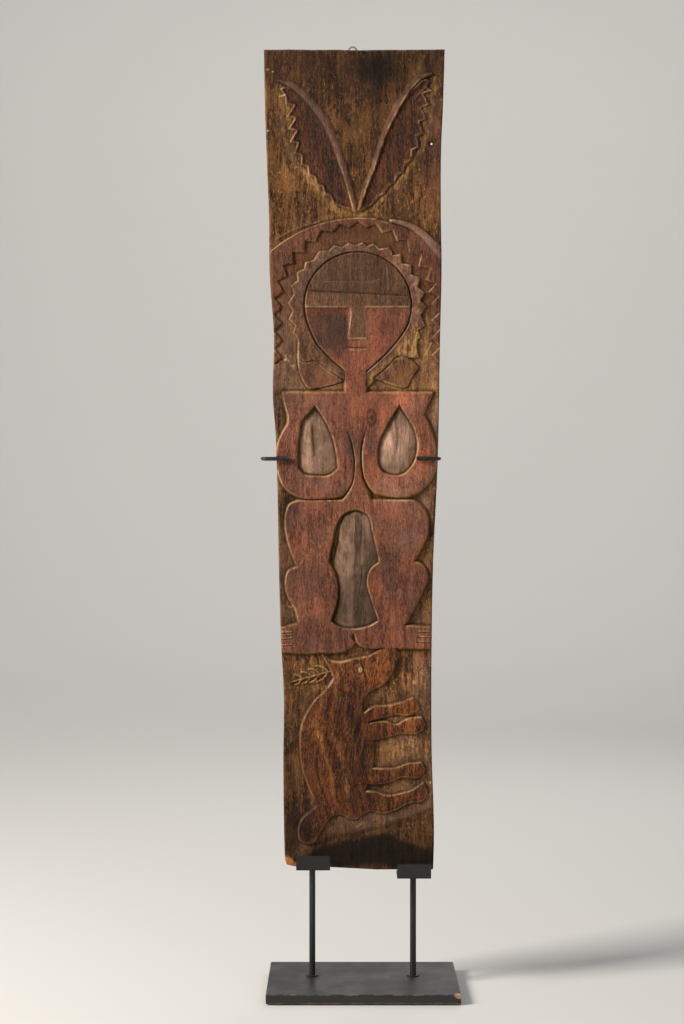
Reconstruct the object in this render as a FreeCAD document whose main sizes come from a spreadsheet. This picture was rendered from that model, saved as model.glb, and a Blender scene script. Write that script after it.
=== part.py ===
import FreeCAD, Part
import math
import os

# Carved relief panel held upright on a black display stand.
# Origin: centre of the underside of the base. +X right, -Y front, +Z up, mm.

V = FreeCAD.Vector
doc = FreeCAD.newDocument("carved_ancestor_panel")
sheet = doc.addObject("Spreadsheet::Sheet", "sheet")

SIZES = [
    ("base_wide", 372), ("base_deep", 240), ("base_thick", 18), ("felt_thick", 3),
    ("felt_inset", 8), ("post_radius", 6), ("post_left", -99.5), ("post_right", 100),
    ("post_back", 15), ("thread_radius", 4), ("collar_radius", 12), ("collar_thick", 2.5),
    ("nut_radius", 7.5), ("nut_thick", 6), ("washer_radius", 8.5), ("washer_thick", 1.5),
    ("counterbore_radius", 10), ("counterbore_deep", 9), ("cradle_wide", 66),
    ("cradle_strap", 3), ("left_cradle_low", 240), ("right_cradle_low", 224),
    ("left_cradle_x", -97), ("right_cradle_x", 100), ("cradle_lip", 28.5),
    ("cradle_front", -41), ("cradle_back", 27), ("left_lining_thick", 1.5),
    ("right_lining_thick", 12), ("crossbar_height", 1043.5), ("tube_left", -158),
    ("tube_right", 126), ("tube_radius", 6), ("tube_bore", 3.05), ("lower_bar_height", 400),
    ("arm_radius", 3), ("arm_flat", 2.5), ("bend_radius", 11), ("finger_front", -40.6),
    ("left_arm_inner", -60), ("left_arm_outer", -196.6), ("left_tip", -148),
    ("right_arm_inner", 30), ("right_arm_outer", 150.1), ("right_tip", 106.5),
    ("sleeve_radius", 4), ("sleeve_long", 22), ("left_boss", -140), ("right_boss", 114),
    ("boss_radius", 5.5), ("boss_reach", 12), ("screw_radius", 2), ("screw_head_radius", 6),
    ("screw_head_long", 8), ("ring_radius", 8.7), ("ring_wide", 8),
    ("panel_x", -14.4), ("panel_z", 240), ("panel_back", 6), ("ground", -26),
    ("full_relief", 10), ("low_relief", 5), ("mid_relief", 8), ("plate_thick", 2),
    ("plate_wide", 18), ("plate_x", -19.4), ("eye_height", 1850), ("eye_radius", 5.5),
    ("plate_low", 1792), ("nail_x", 134.3), ("nail_z", 1658.8), ("nail_head", 2.8),
]
for row, (alias, value) in enumerate(SIZES, 1):
    sheet.set("A%d" % row, alias)
    sheet.set("B%d" % row, str(value))
    sheet.setAlias("B%d" % row, alias)
doc.recompute()
SIZE = dict(SIZES)
AXIS_TURN = {
    "X": FreeCAD.Rotation(V(0, 1, 0), 90),
    "Y": FreeCAD.Rotation(V(1, 0, 0), -90),
    "Z": FreeCAD.Rotation(),
}
finished = []


def bind(thing, **formulas):
    """Bind each named property of a thing to a formula in the sheet."""
    for name, formula in formulas.items():
        thing.setExpression(name, formula)
    return thing


def move(thing, x="0", y="0", z="0"):
    """Place a thing with formulas for its three coordinates."""
    thing.setExpression("Placement.Base.x", x)
    thing.setExpression("Placement.Base.y", y)
    thing.setExpression("Placement.Base.z", z)
    return thing


def rod(name, radius, length, x="0", y="0", z="0", along="Z"):
    """A cylinder whose axis starts at x, y, z and runs along one axis."""
    thing = doc.addObject("Part::Cylinder", name)
    thing.Placement = FreeCAD.Placement(V(), AXIS_TURN[along])
    bind(thing, Radius=radius, Height=length)
    return move(thing, x, y, z)


def box(name, wide, deep, high, x, y, z):
    """A box with one corner at x, y, z."""
    thing = doc.addObject("Part::Box", name)
    bind(thing, Length=wide, Width=deep, Height=high)
    return move(thing, x, y, z)


def cut(name, base, tool):
    thing = doc.addObject("Part::Cut", name)
    thing.Base = base
    thing.Tool = tool
    return thing


def fuse(name, things):
    thing = doc.addObject("Part::MultiFuse", name)
    thing.Shapes = things
    thing.Refine = True
    return thing


def soften(name, base, radius, wanted, straight_cut=False):
    """Round or chamfer the edges of a thing whose middle passes a test."""
    doc.recompute()
    kind = "Part::Chamfer" if straight_cut else "Part::Fillet"
    edges = base.Shape.Edges
    chosen = [i + 1 for i, edge in enumerate(edges) if wanted(edge)]
    thing = doc.addObject(kind, name)
    thing.Base = base
    thing.Edges = [(number, radius, radius) for number in chosen]
    return thing


def middle(edge):
    return edge.CenterOfMass


def upright(edge):
    ends = [vertex.Point for vertex in edge.Vertexes]
    if len(ends) < 2:
        return False
    across = math.hypot(ends[0].x - ends[1].x, ends[0].y - ends[1].y)
    return across < 0.01 and abs(ends[0].z - ends[1].z) > 1


def finish(thing, node):
    """Name a finished sub-part after its file."""
    thing.Label = node
    finished.append((thing, node))
    return thing


# ---------------------------------------------------------------- base and posts

def make_base():
    felt = box("Felt_sheet", "sheet.base_wide - 2 * sheet.felt_inset",
               "sheet.base_deep - 2 * sheet.felt_inset", "sheet.felt_thick",
               "sheet.felt_inset - sheet.base_wide / 2",
               "sheet.felt_inset - sheet.base_deep / 2", "0")
    finish(felt, "felt_underlay")
    board = box("Board", "sheet.base_wide", "sheet.base_deep", "sheet.base_thick",
                "-sheet.base_wide / 2", "-sheet.base_deep / 2", "sheet.felt_thick")
    holes = []
    for side in ("left", "right"):
        place = ("sheet.post_" + side, "sheet.post_back")
        holes.append(rod("Stud_hole_" + side, "sheet.thread_radius + 0.25",
                         "sheet.base_thick + 4", place[0], place[1], "sheet.felt_thick - 2"))
        holes.append(rod("Counterbore_" + side, "sheet.counterbore_radius",
                         "sheet.counterbore_deep + 2", place[0], place[1],
                         "sheet.felt_thick - 2"))
    bored = cut("Board_bored", board, fuse("Board_holes", holes))
    top = SIZE["felt_thick"] + SIZE["base_thick"]
    half_wide = SIZE["base_wide"] / 2
    half_deep = SIZE["base_deep"] / 2

    def rim(edge):
        at = middle(edge)
        on_side = abs(abs(at.x) - half_wide) < 0.01 or abs(abs(at.y) - half_deep) < 0.01
        return on_side and (abs(at.z - top) < 0.01 or upright(edge))

    finish(soften("Board_eased", bored, 1.0, rim, True), "base_slab")


def make_post(side):
    """A round post with a thinner threaded foot and a saddle cut at the top."""
    x = "sheet.post_" + side
    base_top = "sheet.felt_thick + sheet.base_thick"
    shaft = rod("Shaft_" + side, "sheet.post_radius",
                "sheet.crossbar_height - sheet.felt_thick - sheet.base_thick",
                x, "sheet.post_back", base_top)
    stud = rod("Stud_" + side, "sheet.thread_radius", "sheet.base_thick",
               x, "sheet.post_back", "sheet.felt_thick + 1")
    saddle = rod("Saddle_" + side, "sheet.tube_radius", "80", x + " - 40",
                 "sheet.post_back", "sheet.crossbar_height", "X")
    post = cut("Post_" + side, fuse("Post_blank_" + side, [shaft, stud]), saddle)
    finish(post, side + "_post")


def ring(name, outer, inner, thick, x, z):
    """A flat ring round a post."""
    disc = rod(name + "_disc", outer, thick, x, "sheet.post_back", z)
    hole = rod(name + "_hole", inner, thick + " + 2", x, "sheet.post_back", z + " - 1")
    return cut(name, disc, hole)


def make_foot_fittings():
    collars, washers, nuts = [], [], []
    seat = "sheet.felt_thick + sheet.counterbore_deep"
    for side in ("left", "right"):
        x = "sheet.post_" + side
        collars.append(ring("Collar_" + side, "sheet.collar_radius",
                            "sheet.post_radius + 0.05", "sheet.collar_thick", x,
                            "(sheet.felt_thick + sheet.base_thick)"))
        washers.append(ring("Washer_" + side, "sheet.washer_radius",
                            "sheet.thread_radius + 0.1", "sheet.washer_thick", x,
                            "(%s - sheet.washer_thick)" % seat))
        nut = doc.addObject("Part::Prism", "Nut_blank_" + side)
        nut.Polygon = 6
        bind(nut, Circumradius="sheet.nut_radius", Height="sheet.nut_thick")
        low = "%s - sheet.washer_thick - sheet.nut_thick" % seat
        move(nut, x, "sheet.post_back", low)
        bore = rod("Nut_bore_" + side, "sheet.thread_radius", "sheet.nut_thick + 2", x,
                   "sheet.post_back", low + " - 1")
        nuts.append(cut("Nut_" + side, nut, bore))
    for node, things in (("foot_collars", collars), ("foot_washers", washers),
                         ("foot_nuts", nuts)):
        group = doc.addObject("Part::Compound", "Group_" + node)
        group.Links = things
        finish(group, node)


# ---------------------------------------------------------------- cradles and linings

def make_cradle(side, lining):
    """A bent strap: a shelf bored for its post, with a lip turned up in front."""
    low = "sheet." + side + "_cradle_low"
    x = "sheet.%s_cradle_x - sheet.cradle_wide / 2" % side
    shelf = box("Shelf_" + side, "sheet.cradle_wide",
                "sheet.cradle_back - sheet.cradle_front", "sheet.cradle_strap",
                x, "sheet.cradle_front", low)
    lip = box("Lip_" + side, "sheet.cradle_wide", "sheet.cradle_strap",
              "sheet.cradle_lip", x, "sheet.cradle_front", low)
    hole = rod("Shelf_hole_" + side, "sheet.post_radius + 0.05", "sheet.cradle_strap + 2",
               "sheet.post_" + side, "sheet.post_back", low + " - 1")
    blank = cut("Strap_" + side, fuse("Strap_blank_" + side, [shelf, lip]), hole)
    bottom = SIZE[side + "_cradle_low"]
    front = SIZE["cradle_front"]
    strap = SIZE["cradle_strap"]

    def bend(edge):
        at = middle(edge)
        return abs(at.y - front) < 0.01 and abs(at.z - bottom) < 0.01

    def inner_bend(edge):
        at = middle(edge)
        return abs(at.y - front - strap) < 0.01 and abs(at.z - bottom - strap) < 0.01

    def corner(edge):
        at = middle(edge)
        lip_top = abs(at.z - bottom - SIZE["cradle_lip"]) < 0.01
        short = edge.Length < strap + 0.01
        back = abs(at.y - SIZE["cradle_back"]) < 0.01 and upright(edge)
        return (lip_top and short and abs(at.x - SIZE[side + "_cradle_x"]) > 30) or back

    bent = soften("Strap_bent_" + side, blank, 4.0, bend)
    folded = soften("Strap_folded_" + side, bent, 1.2, inner_bend)
    finish(soften("Strap_rounded_" + side, folded, 2.5, corner), side + "_cradle")
    bed = box("Lining_" + side, "sheet.cradle_wide - 6",
              "sheet.panel_back - sheet.ground + sheet.full_relief",
              "sheet.%s_lining_thick" % side, x + " + 3",
              "sheet.ground - sheet.full_relief", low + " + sheet.cradle_strap")
    finish(bed, "%s_cradle_%s" % (side, lining))


# ---------------------------------------------------------------- crossbars

def make_crossbars():
    tube = rod("Tube", "sheet.tube_radius", "sheet.tube_right - sheet.tube_left",
               "sheet.tube_left", "sheet.post_back", "sheet.crossbar_height", "X")
    bosses = [rod("Boss_" + side, "sheet.boss_radius", "sheet.boss_reach",
                  "sheet.%s_boss" % side, "sheet.post_back", "sheet.crossbar_height", "Y")
              for side in ("left", "right")]
    bores = [rod("Tube_bore", "sheet.tube_bore", "sheet.tube_right - sheet.tube_left + 2",
                 "sheet.tube_left - 1", "sheet.post_back", "sheet.crossbar_height", "X")]
    bores += [rod("Boss_bore_" + side, "sheet.screw_radius + 0.05", "sheet.boss_reach + 2",
                  "sheet.%s_boss" % side, "sheet.post_back", "sheet.crossbar_height", "Y")
              for side in ("left", "right")]
    upper = cut("Tube_bored", fuse("Tube_blank", [tube] + bosses), fuse("Tube_bores", bores))
    finish(upper, "upper_crossbar")
    bar = rod("Bar", "sheet.post_radius", "sheet.post_right - sheet.post_left",
              "sheet.post_left", "sheet.post_back", "sheet.lower_bar_height", "X")
    ends = [rod("Bar_end_" + side, "sheet.post_radius", "40", "sheet.post_" + side,
                "sheet.post_back", "sheet.lower_bar_height - 20")
            for side in ("left", "right")]
    finish(cut("Bar_coped", bar, fuse("Bar_ends", ends)), "lower_crossbar")
    rings = []
    for number, (x, height) in enumerate(((-60, "crossbar_height"), (60, "crossbar_height"),
                                          (-60, "lower_bar_height"),
                                          (60, "lower_bar_height"))):
        z = "sheet." + height
        start = "%d - sheet.ring_wide / 2" % x
        disc = rod("Ring_disc_%d" % number, "sheet.ring_radius", "sheet.ring_wide",
                   start, "sheet.post_back", z, "X")
        hole = rod("Ring_hole_%d" % number, "sheet.tube_radius", "sheet.ring_wide + 2",
                   start + " - 1", "sheet.post_back", z, "X")
        rings.append(cut("Ring_%d" % number, disc, hole))
    group = doc.addObject("Part::Compound", "Group_rings")
    group.Links = rings
    finish(group, "bumper_rings")


# ---------------------------------------------------------------- clip arms

def bend_piece(name, x, y, turn):
    """A quarter of a ring of rod, centred at x, y, starting at a turn about Z."""
    thing = doc.addObject("Part::Torus", name)
    thing.Placement = FreeCAD.Placement(V(), FreeCAD.Rotation(V(0, 0, 1), turn))
    thing.Angle3 = 90
    bind(thing, Radius1="sheet.bend_radius", Radius2="sheet.arm_radius")
    return move(thing, x, y, "sheet.crossbar_height")


def make_clip_arm(side, sign):
    """A rod run out of the tube, round the panel edge and in across its front."""
    z = "sheet.crossbar_height"
    inner = "sheet.%s_arm_inner" % side
    outer = "sheet.%s_arm_outer" % side
    tip = "sheet.%s_tip" % side
    bend = "sheet.bend_radius"
    inside = "%s - %d * %s" % (outer, sign, bend)
    low_x, high_x = (inner, inside) if sign > 0 else (inside, inner)
    back = rod("Back_run_" + side, "sheet.arm_radius", "%s - (%s)" % (high_x, low_x),
               low_x, "sheet.post_back", z, "X")
    low_x, high_x = (tip, inside) if sign > 0 else (inside, tip)
    front = rod("Finger_" + side, "sheet.arm_radius", "%s - (%s)" % (high_x, low_x),
                low_x, "sheet.finger_front", z, "X")
    run = rod("Side_run_" + side, "sheet.arm_radius",
              "sheet.post_back - sheet.finger_front - 2 * " + bend, outer,
              "sheet.finger_front + " + bend, z, "Y")
    rear = bend_piece("Rear_bend_" + side, inside, "sheet.post_back - " + bend,
                      0 if sign > 0 else 90)
    fore = bend_piece("Fore_bend_" + side, inside, "sheet.finger_front + " + bend,
                      270 if sign > 0 else 180)
    blank = fuse("Arm_blank_" + side, [back, front, run, rear, fore])
    low_x = inner if sign > 0 else "sheet.tube_left - 20"
    long = "sheet.tube_right + 8 - %s" % inner
    if sign < 0:
        long = "%s - sheet.tube_left + 20" % inner
    flat = box("Arm_flat_" + side, long, "4", "10", low_x,
               "sheet.post_back + sheet.arm_flat", z + " - 5")
    finish(cut("Arm_" + side, blank, flat), side + "_clip_arm")
    start = tip if sign > 0 else "%s - sheet.sleeve_long" % tip
    skin = rod("Sleeve_skin_" + side, "sheet.sleeve_radius", "sheet.sleeve_long", start,
               "sheet.finger_front", z, "X")
    core = rod("Sleeve_core_" + side, "sheet.arm_radius", "sheet.sleeve_long + 2",
               start + " - 1", "sheet.finger_front", z, "X")
    cap_start = "%s - 2" % tip if sign > 0 else tip
    cap = rod("Sleeve_cap_" + side, "sheet.sleeve_radius", "2", cap_start,
              "sheet.finger_front", z, "X")
    hollow = cut("Sleeve_hollow_" + side, skin, core)
    finish(fuse("Sleeve_" + side, [hollow, cap]), side + "_tip_sleeve")


def make_thumb_screw(side):
    """A screw that bears on the arm's flat, with a round grip outside the boss."""
    x = "sheet.%s_boss" % side
    z = "sheet.crossbar_height"
    tip = "sheet.post_back + sheet.arm_flat + 0.1"
    shank = rod("Shank_" + side, "sheet.screw_radius",
                "sheet.boss_reach - sheet.arm_flat + 0.5", x, tip, z, "Y")
    head_start = "sheet.post_back + sheet.boss_reach + 0.4"
    head = rod("Grip_" + side, "sheet.screw_head_radius", "sheet.screw_head_long", x,
               head_start, z, "Y")
    flutes = []
    for number in range(10):
        angle = number * 36
        around = "%s + (sheet.screw_head_radius + 0.4) * cos(%d deg)" % (x, angle)
        height = "%s + (sheet.screw_head_radius + 0.4) * sin(%d deg)" % (z, angle)
        flutes.append(rod("Flute_%s_%d" % (side, number), "1", "sheet.screw_head_long + 2",
                          around, head_start + " - 1", height, "Y"))
    grip = cut("Grip_cut_" + side, head, fuse("Flutes_" + side, flutes))
    finish(fuse("Thumb_screw_" + side, [shank, grip]), side + "_thumb_screw")


# ---------------------------------------------------------------- the carved panel
# Outlines are drawn face on: first number across, second number up, both from
# the panel's own origin near the middle of its bottom edge. An outline is a
# chain of strokes. A "line" joins its points straight, a "curve" runs smoothly
# through them, and an "arc" passes through three points.

EDGE = [
    ("line", (-120, 4.5), (-45, 4.5), (60, -1), (152, -1)),
    ("curve", (152, -1), (153, 60), (149, 250), (149, 440), (152, 600), (161, 800),
     (165.6, 1048), (168.5, 1180), (167, 1400), (171, 1500), (174.5, 1603)),
    ("line", (174.5, 1603), (-179, 1603.5)),
    ("curve", (-179, 1603.5), (-175, 1440), (-169, 1271), (-168, 1170), (-159, 1048),
     (-161, 910), (-154, 830), (-150, 600), (-145, 430), (-140.5, 300), (-140, 75),
     (-138, 26), (-132, 10), (-120, 4.5)),
]
UPPER_BODY = [
    ("line", (-140, 932), (-22, 932), (-20, 985), (21, 985), (21, 932), (150, 932)),
    ("curve", (150, 932), (139, 907), (130, 890)),
    ("curve", (130, 890), (142, 871), (153, 838), (155, 790), (143, 757), (113, 734),
     (67, 730), (34, 742), (16, 778), (16, 834), (24, 867)),
    ("curve", (24, 867), (11, 838), (8, 800), (15, 757), (33, 716)),
    ("line", (33, 716), (-24, 716)),
    ("curve", (-24, 716), (-6, 749), (0, 790), (-7, 838), (-20, 868)),
    ("curve", (-20, 868), (-7, 812), (-7, 767), (-24, 735), (-60, 726), (-108, 728),
     (-144, 756), (-154, 800), (-150, 840), (-134, 866), (-132, 895), (-140, 932)),
]
LOWER_BODY = [
    ("line", (-24, 722), (116, 721)),
    ("curve", (116, 721), (137, 702), (141, 668), (129, 630), (113, 601)),
    ("curve", (113, 601), (138, 584), (136, 557), (116, 514), (95, 477)),
    ("line", (95, 477), (148, 474), (148, 433), (43, 433)),
    ("curve", (43, 433), (17, 436), (0, 448)),
    ("curve", (0, 448), (-16, 432), (-40, 425)),
    ("line", (-40, 425), (-145, 424.5), (-146, 474), (-112, 481)),
    ("curve", (-112, 481), (-119, 512), (-134, 548), (-133, 581), (-112, 592)),
    ("curve", (-112, 592), (-127, 627), (-136, 676), (-134, 706), (-112, 721)),
    ("line", (-112, 721), (-24, 722)),
]
HEAD = [
    ("arc", (-88, 1061), (5, 1206), (98, 1061)),
    ("curve", (98, 1061), (72, 1020), (21, 975)),
    ("line", (21, 975), (-20, 975)),
    ("curve", (-20, 975), (-66, 1019), (-88, 1061)),
]
LEFT_LEAF = [
    ("curve", (-137, 1515), (-98, 1491), (-62, 1444), (-38, 1389), (-15, 1326), (-2, 1284)),
    ("line", (-2, 1284), (-23, 1283)),
    ("curve", (-23, 1283), (-64, 1330), (-108, 1393), (-126, 1450), (-137, 1515)),
]
RIGHT_LEAF = [
    ("curve", (137, 1532), (103, 1497), (70, 1440), (46, 1386), (24, 1330), (4, 1284)),
    ("line", (4, 1284), (12, 1283)),
    ("curve", (12, 1283), (62, 1335), (107, 1390), (130, 1450), (137, 1532)),
]
LEFT_RIB = [
    ("curve", (-147, 1545), (-96, 1513), (-51, 1453), (-18, 1368), (1, 1284)),
    ("line", (1, 1284), (-8, 1284)),
    ("curve", (-8, 1284), (-29, 1360), (-61, 1446), (-99, 1498), (-147, 1532)),
    ("line", (-147, 1532), (-147, 1545)),
]
RIGHT_RIB = [
    ("curve", (4, 1284), (33, 1372), (68, 1476), (110, 1535), (149, 1559)),
    ("line", (149, 1559), (149, 1548)),
    ("curve", (149, 1548), (112, 1518), (79, 1468), (50, 1400), (10, 1284)),
    ("line", (10, 1284), (4, 1284)),
]
LEFT_FIN = [
    ("curve", (-113, 998), (-83, 993), (-24, 957)),
    ("curve", (-24, 957), (-58, 945), (-93, 942), (-107, 962), (-113, 998)),
]
RIGHT_FIN = [
    ("curve", (34, 960), (62, 983), (88, 1003), (122, 990)),
    ("curve", (122, 990), (112, 960), (97, 942), (64, 949), (34, 960)),
]
LEFT_BOWL = [
    ("curve", (-80, 909), (-103, 881), (-113, 826), (-113, 786)),
    ("curve", (-113, 786), (-98, 771), (-60, 769), (-36, 781)),
    ("curve", (-36, 781), (-36, 815), (-57, 876), (-80, 909)),
]
RIGHT_BOWL = [
    ("curve", (86, 910), (60, 868), (41, 811), (53, 777), (82, 769), (111, 788), (123, 830),
     (111, 872), (86, 910)),
]
VESSEL = [
    ("curve", (-48, 487), (-36, 530), (-38, 570), (-54, 601), (-44, 655), (-24, 697),
     (0, 705), (23, 697), (35, 655), (48, 601), (25, 571), (31, 536), (47, 487)),
    ("curve", (47, 487), (4, 470), (-48, 487)),
]
DEER = [
    ("line", (-50, 394), (-64, 420)),
    ("curve", (-64, 420), (-36, 407), (20, 415), (74, 434)),
    ("curve", (74, 434), (82, 412), (60, 370), (24, 349), (13, 318), (20, 296)),
    ("curve", (20, 296), (34, 254), (31, 192), (15, 148), (4, 102)),
    ("curve", (4, 102), (-18, 107), (-45, 108), (-62, 90), (-79, 58)),
    ("curve", (-79, 58), (-103, 54), (-111, 76), (-100, 104), (-74, 122)),
    ("curve", (-74, 122), (-80, 143), (-104, 198), (-106, 262), (-84, 324), (-42, 372)),
    ("line", (-42, 372), (-50, 394)),
]
FORELEG_ONE = [
    ("curve", (8, 302), (40, 318), (80, 322), (112, 333), (122, 312), (80, 304), (34, 294)),
    ("line", (34, 294), (8, 290), (8, 302)),
]
FORELEG_TWO = [
    ("curve", (12, 282), (56, 288), (88, 287), (124, 298), (130, 274), (80, 267), (36, 256)),
    ("line", (36, 256), (12, 256), (12, 282)),
]
HINDLEG_ONE = [
    ("curve", (12, 203), (60, 197), (106, 206), (132, 204), (124, 184), (75, 180), (36, 168)),
    ("line", (36, 168), (10, 172), (12, 203)),
]
HINDLEG_TWO = [
    ("curve", (5, 152), (45, 149), (87, 148), (132, 168), (136, 144), (90, 125), (53, 113)),
    ("curve", (53, 113), (28, 116), (4, 103)),
    ("line", (4, 103), (5, 152)),
]
HALO_CENTRE = (5, 1098)

# The face is laid out by plain shares of the head's height.
HEAD_TOP = 1206
CHIN = 977
HEAD_MIDDLE = 4


def point(pair):
    return V(pair[0], 0, pair[1])


def stroke_edges(stroke):
    kind = stroke[0]
    points = [point(pair) for pair in stroke[1:]]
    if kind == "line":
        return [Part.LineSegment(a, b).toShape() for a, b in zip(points, points[1:])]
    if kind == "arc":
        return [Part.Arc(*points).toShape()]
    curve = Part.BSplineCurve()
    curve.interpolate(points)
    return [curve.toShape()]


def outline_face(strokes):
    edges = [edge for stroke in strokes for edge in stroke_edges(stroke)]
    return Part.Face(Part.Wire(Part.__sortEdges__(edges)))


def raise_outline(name, strokes, height, start="sheet.ground + 6"):
    """A slab over an outline, from inside the board up to a relief height."""
    drawing = doc.addObject("Part::Feature", name + "_outline")
    drawing.Shape = outline_face(strokes)
    move(drawing, "0", start, "0")
    slab = doc.addObject("Part::Extrusion", name)
    slab.Base = drawing
    slab.DirMode = "Custom"
    slab.Dir = V(0, -1, 0)
    slab.Solid = True
    bind(slab, LengthFwd="(%s) - (%s)" % (start, height))
    return slab


def teeth(radius_in, radius_out, start, end, count):
    """A zigzag between two radii about the middle of the halo."""
    points = []
    for number in range(2 * count + 1):
        angle = math.radians(start + (end - start) * number / (2.0 * count))
        radius = radius_out if number % 2 else radius_in
        points.append((HALO_CENTRE[0] + radius * math.cos(angle),
                       HALO_CENTRE[1] + radius * math.sin(angle)))
    return points


def halo_ring():
    """The plain band round the head, with its outer rim cut in teeth."""
    outer = teeth(124, 136, -52, 232, 30)
    start = outer[0]
    end = outer[-1]
    inner_end = (HALO_CENTRE[0] - 66, HALO_CENTRE[1] - 84)
    inner_start = (HALO_CENTRE[0] + 66, HALO_CENTRE[1] - 84)
    top = (HALO_CENTRE[0], HALO_CENTRE[1] + 111)
    return [("line",) + tuple(outer), ("line", end, inner_end),
            ("arc", inner_end, top, inner_start), ("line", inner_start, start)]


def halo_border():
    """The toothed band that lies outside the sunk ring, up to the outer rim."""
    inner = teeth(154, 169, 34, 148, 9)
    start = inner[0]
    end = inner[-1]
    right = (164, 1214)
    left = (-163, 1211)
    return [("line",) + tuple(inner), ("line", end, (-163, end[1]), left),
            ("arc", left, (2, 1272), right), ("line", right, (164, start[1]), start)]


def face_height(share):
    """A height on the face, as a share of the way from chin to crown."""
    return CHIN + share * (HEAD_TOP - CHIN)


def cap():
    """The plain cap above the brow, with its rim on the head's outline."""
    low = face_height(0.66)
    return [("line", (102, low), (-92, low)),
            ("arc", (-92, low), (HEAD_MIDDLE + 1, 1203), (102, low))]


def brow_and_nose():
    """A level brow band with a straight nose hanging from its middle."""
    top = face_height(0.645)
    low = face_height(0.54)
    base = face_height(0.27)
    left = HEAD_MIDDLE - 98
    right = HEAD_MIDDLE + 98
    bridge = 10
    wing = 17
    return [("line", (left, top), (right, top), (right, low), (HEAD_MIDDLE + 14, low),
             (HEAD_MIDDLE + bridge, low - 8), (HEAD_MIDDLE + wing, base),
             (HEAD_MIDDLE - wing, base), (HEAD_MIDDLE - bridge, low - 8),
             (HEAD_MIDDLE - 14, low), (left, low), (left, top))]


def mouth():
    """A small closed mouth, its lower edge bowed down."""
    high = face_height(0.19)
    low = face_height(0.155)
    left = (HEAD_MIDDLE - 20, high)
    right = (HEAD_MIDDLE + 20, high)
    return [("line", left, right), ("arc", right, (HEAD_MIDDLE, low), left)]


def make_panel():
    full = "sheet.ground - sheet.full_relief"
    mid = "sheet.ground - sheet.mid_relief"
    low = "sheet.ground - sheet.low_relief"
    board = raise_outline("Plank", EDGE, "sheet.ground", "sheet.panel_back")
    raised = [
        ("Upper_body", UPPER_BODY, full), ("Lower_body", LOWER_BODY, full),
        ("Head", HEAD, low), ("Cap", cap(), mid), ("Brow_and_nose", brow_and_nose(), mid),
        ("Mouth", mouth(), "sheet.ground - sheet.low_relief - 1.5"), ("Left_leaf", LEFT_LEAF, low), ("Right_leaf", RIGHT_LEAF, low),
        ("Left_rib", LEFT_RIB, mid), ("Right_rib", RIGHT_RIB, mid),
        ("Left_fin", LEFT_FIN, low), ("Right_fin", RIGHT_FIN, low),
        ("Halo_ring", halo_ring(), low), ("Halo_border", halo_border(), low),
        ("Deer", DEER, mid), ("Foreleg_one", FORELEG_ONE, mid),
        ("Foreleg_two", FORELEG_TWO, mid), ("Hindleg_one", HINDLEG_ONE, mid),
        ("Hindleg_two", HINDLEG_TWO, mid),
    ]
    solids = [board] + [raise_outline(*item) for item in raised]
    blank = fuse("Panel_blank", solids)
    sunk = [raise_outline(name, strokes, "sheet.ground - sheet.full_relief - 2",
                          "sheet.ground")
            for name, strokes in (("Left_bowl", LEFT_BOWL), ("Right_bowl", RIGHT_BOWL),
                                  ("Vessel", VESSEL))]
    nail_hole = rod("Nail_hole", "1.25", "20", "sheet.nail_x - sheet.panel_x",
                    "sheet.ground - 1", "sheet.nail_z - sheet.panel_z", "Y")
    cut_panel = cut("Panel_cut", blank, fuse("Panel_tools", sunk + [nail_hole]))
    swells = [swell("Left_swell", LEFT_BOWL, (-77, 832), 0.86),
              swell("Right_swell", RIGHT_BOWL, (82, 832), 0.86),
              swell("Vessel_swell", VESSEL, (-2, 588), 0.86)]
    panel = fuse("Panel_carved", [cut_panel] + swells)
    panel.Refine = False
    pilots = [rod("Pilot_%d" % number, "1.2", "12", "sheet.plate_x - sheet.panel_x",
                  "sheet.panel_back - 11", "sheet.plate_low + %d - sheet.panel_z" % rise, "Y")
              for number, rise in enumerate((8, 30))]
    drilled = cut("Panel", panel, fuse("Pilots", pilots))
    move(drilled, "sheet.panel_x", "0", "sheet.panel_z")
    finish(drilled, "carved_panel")


def swell(name, strokes, centre, share):
    """The gently domed floor of a sunk shape: its outline drawn smaller, raised."""
    smaller = []
    for stroke in strokes:
        pairs = [(centre[0] + share * (u - centre[0]), centre[1] + share * (v - centre[1]))
                 for u, v in stroke[1:]]
        smaller.append((stroke[0],) + tuple(pairs))
    return raise_outline(name, smaller, "sheet.ground - sheet.low_relief")


# ---------------------------------------------------------------- hanger and nail

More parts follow.
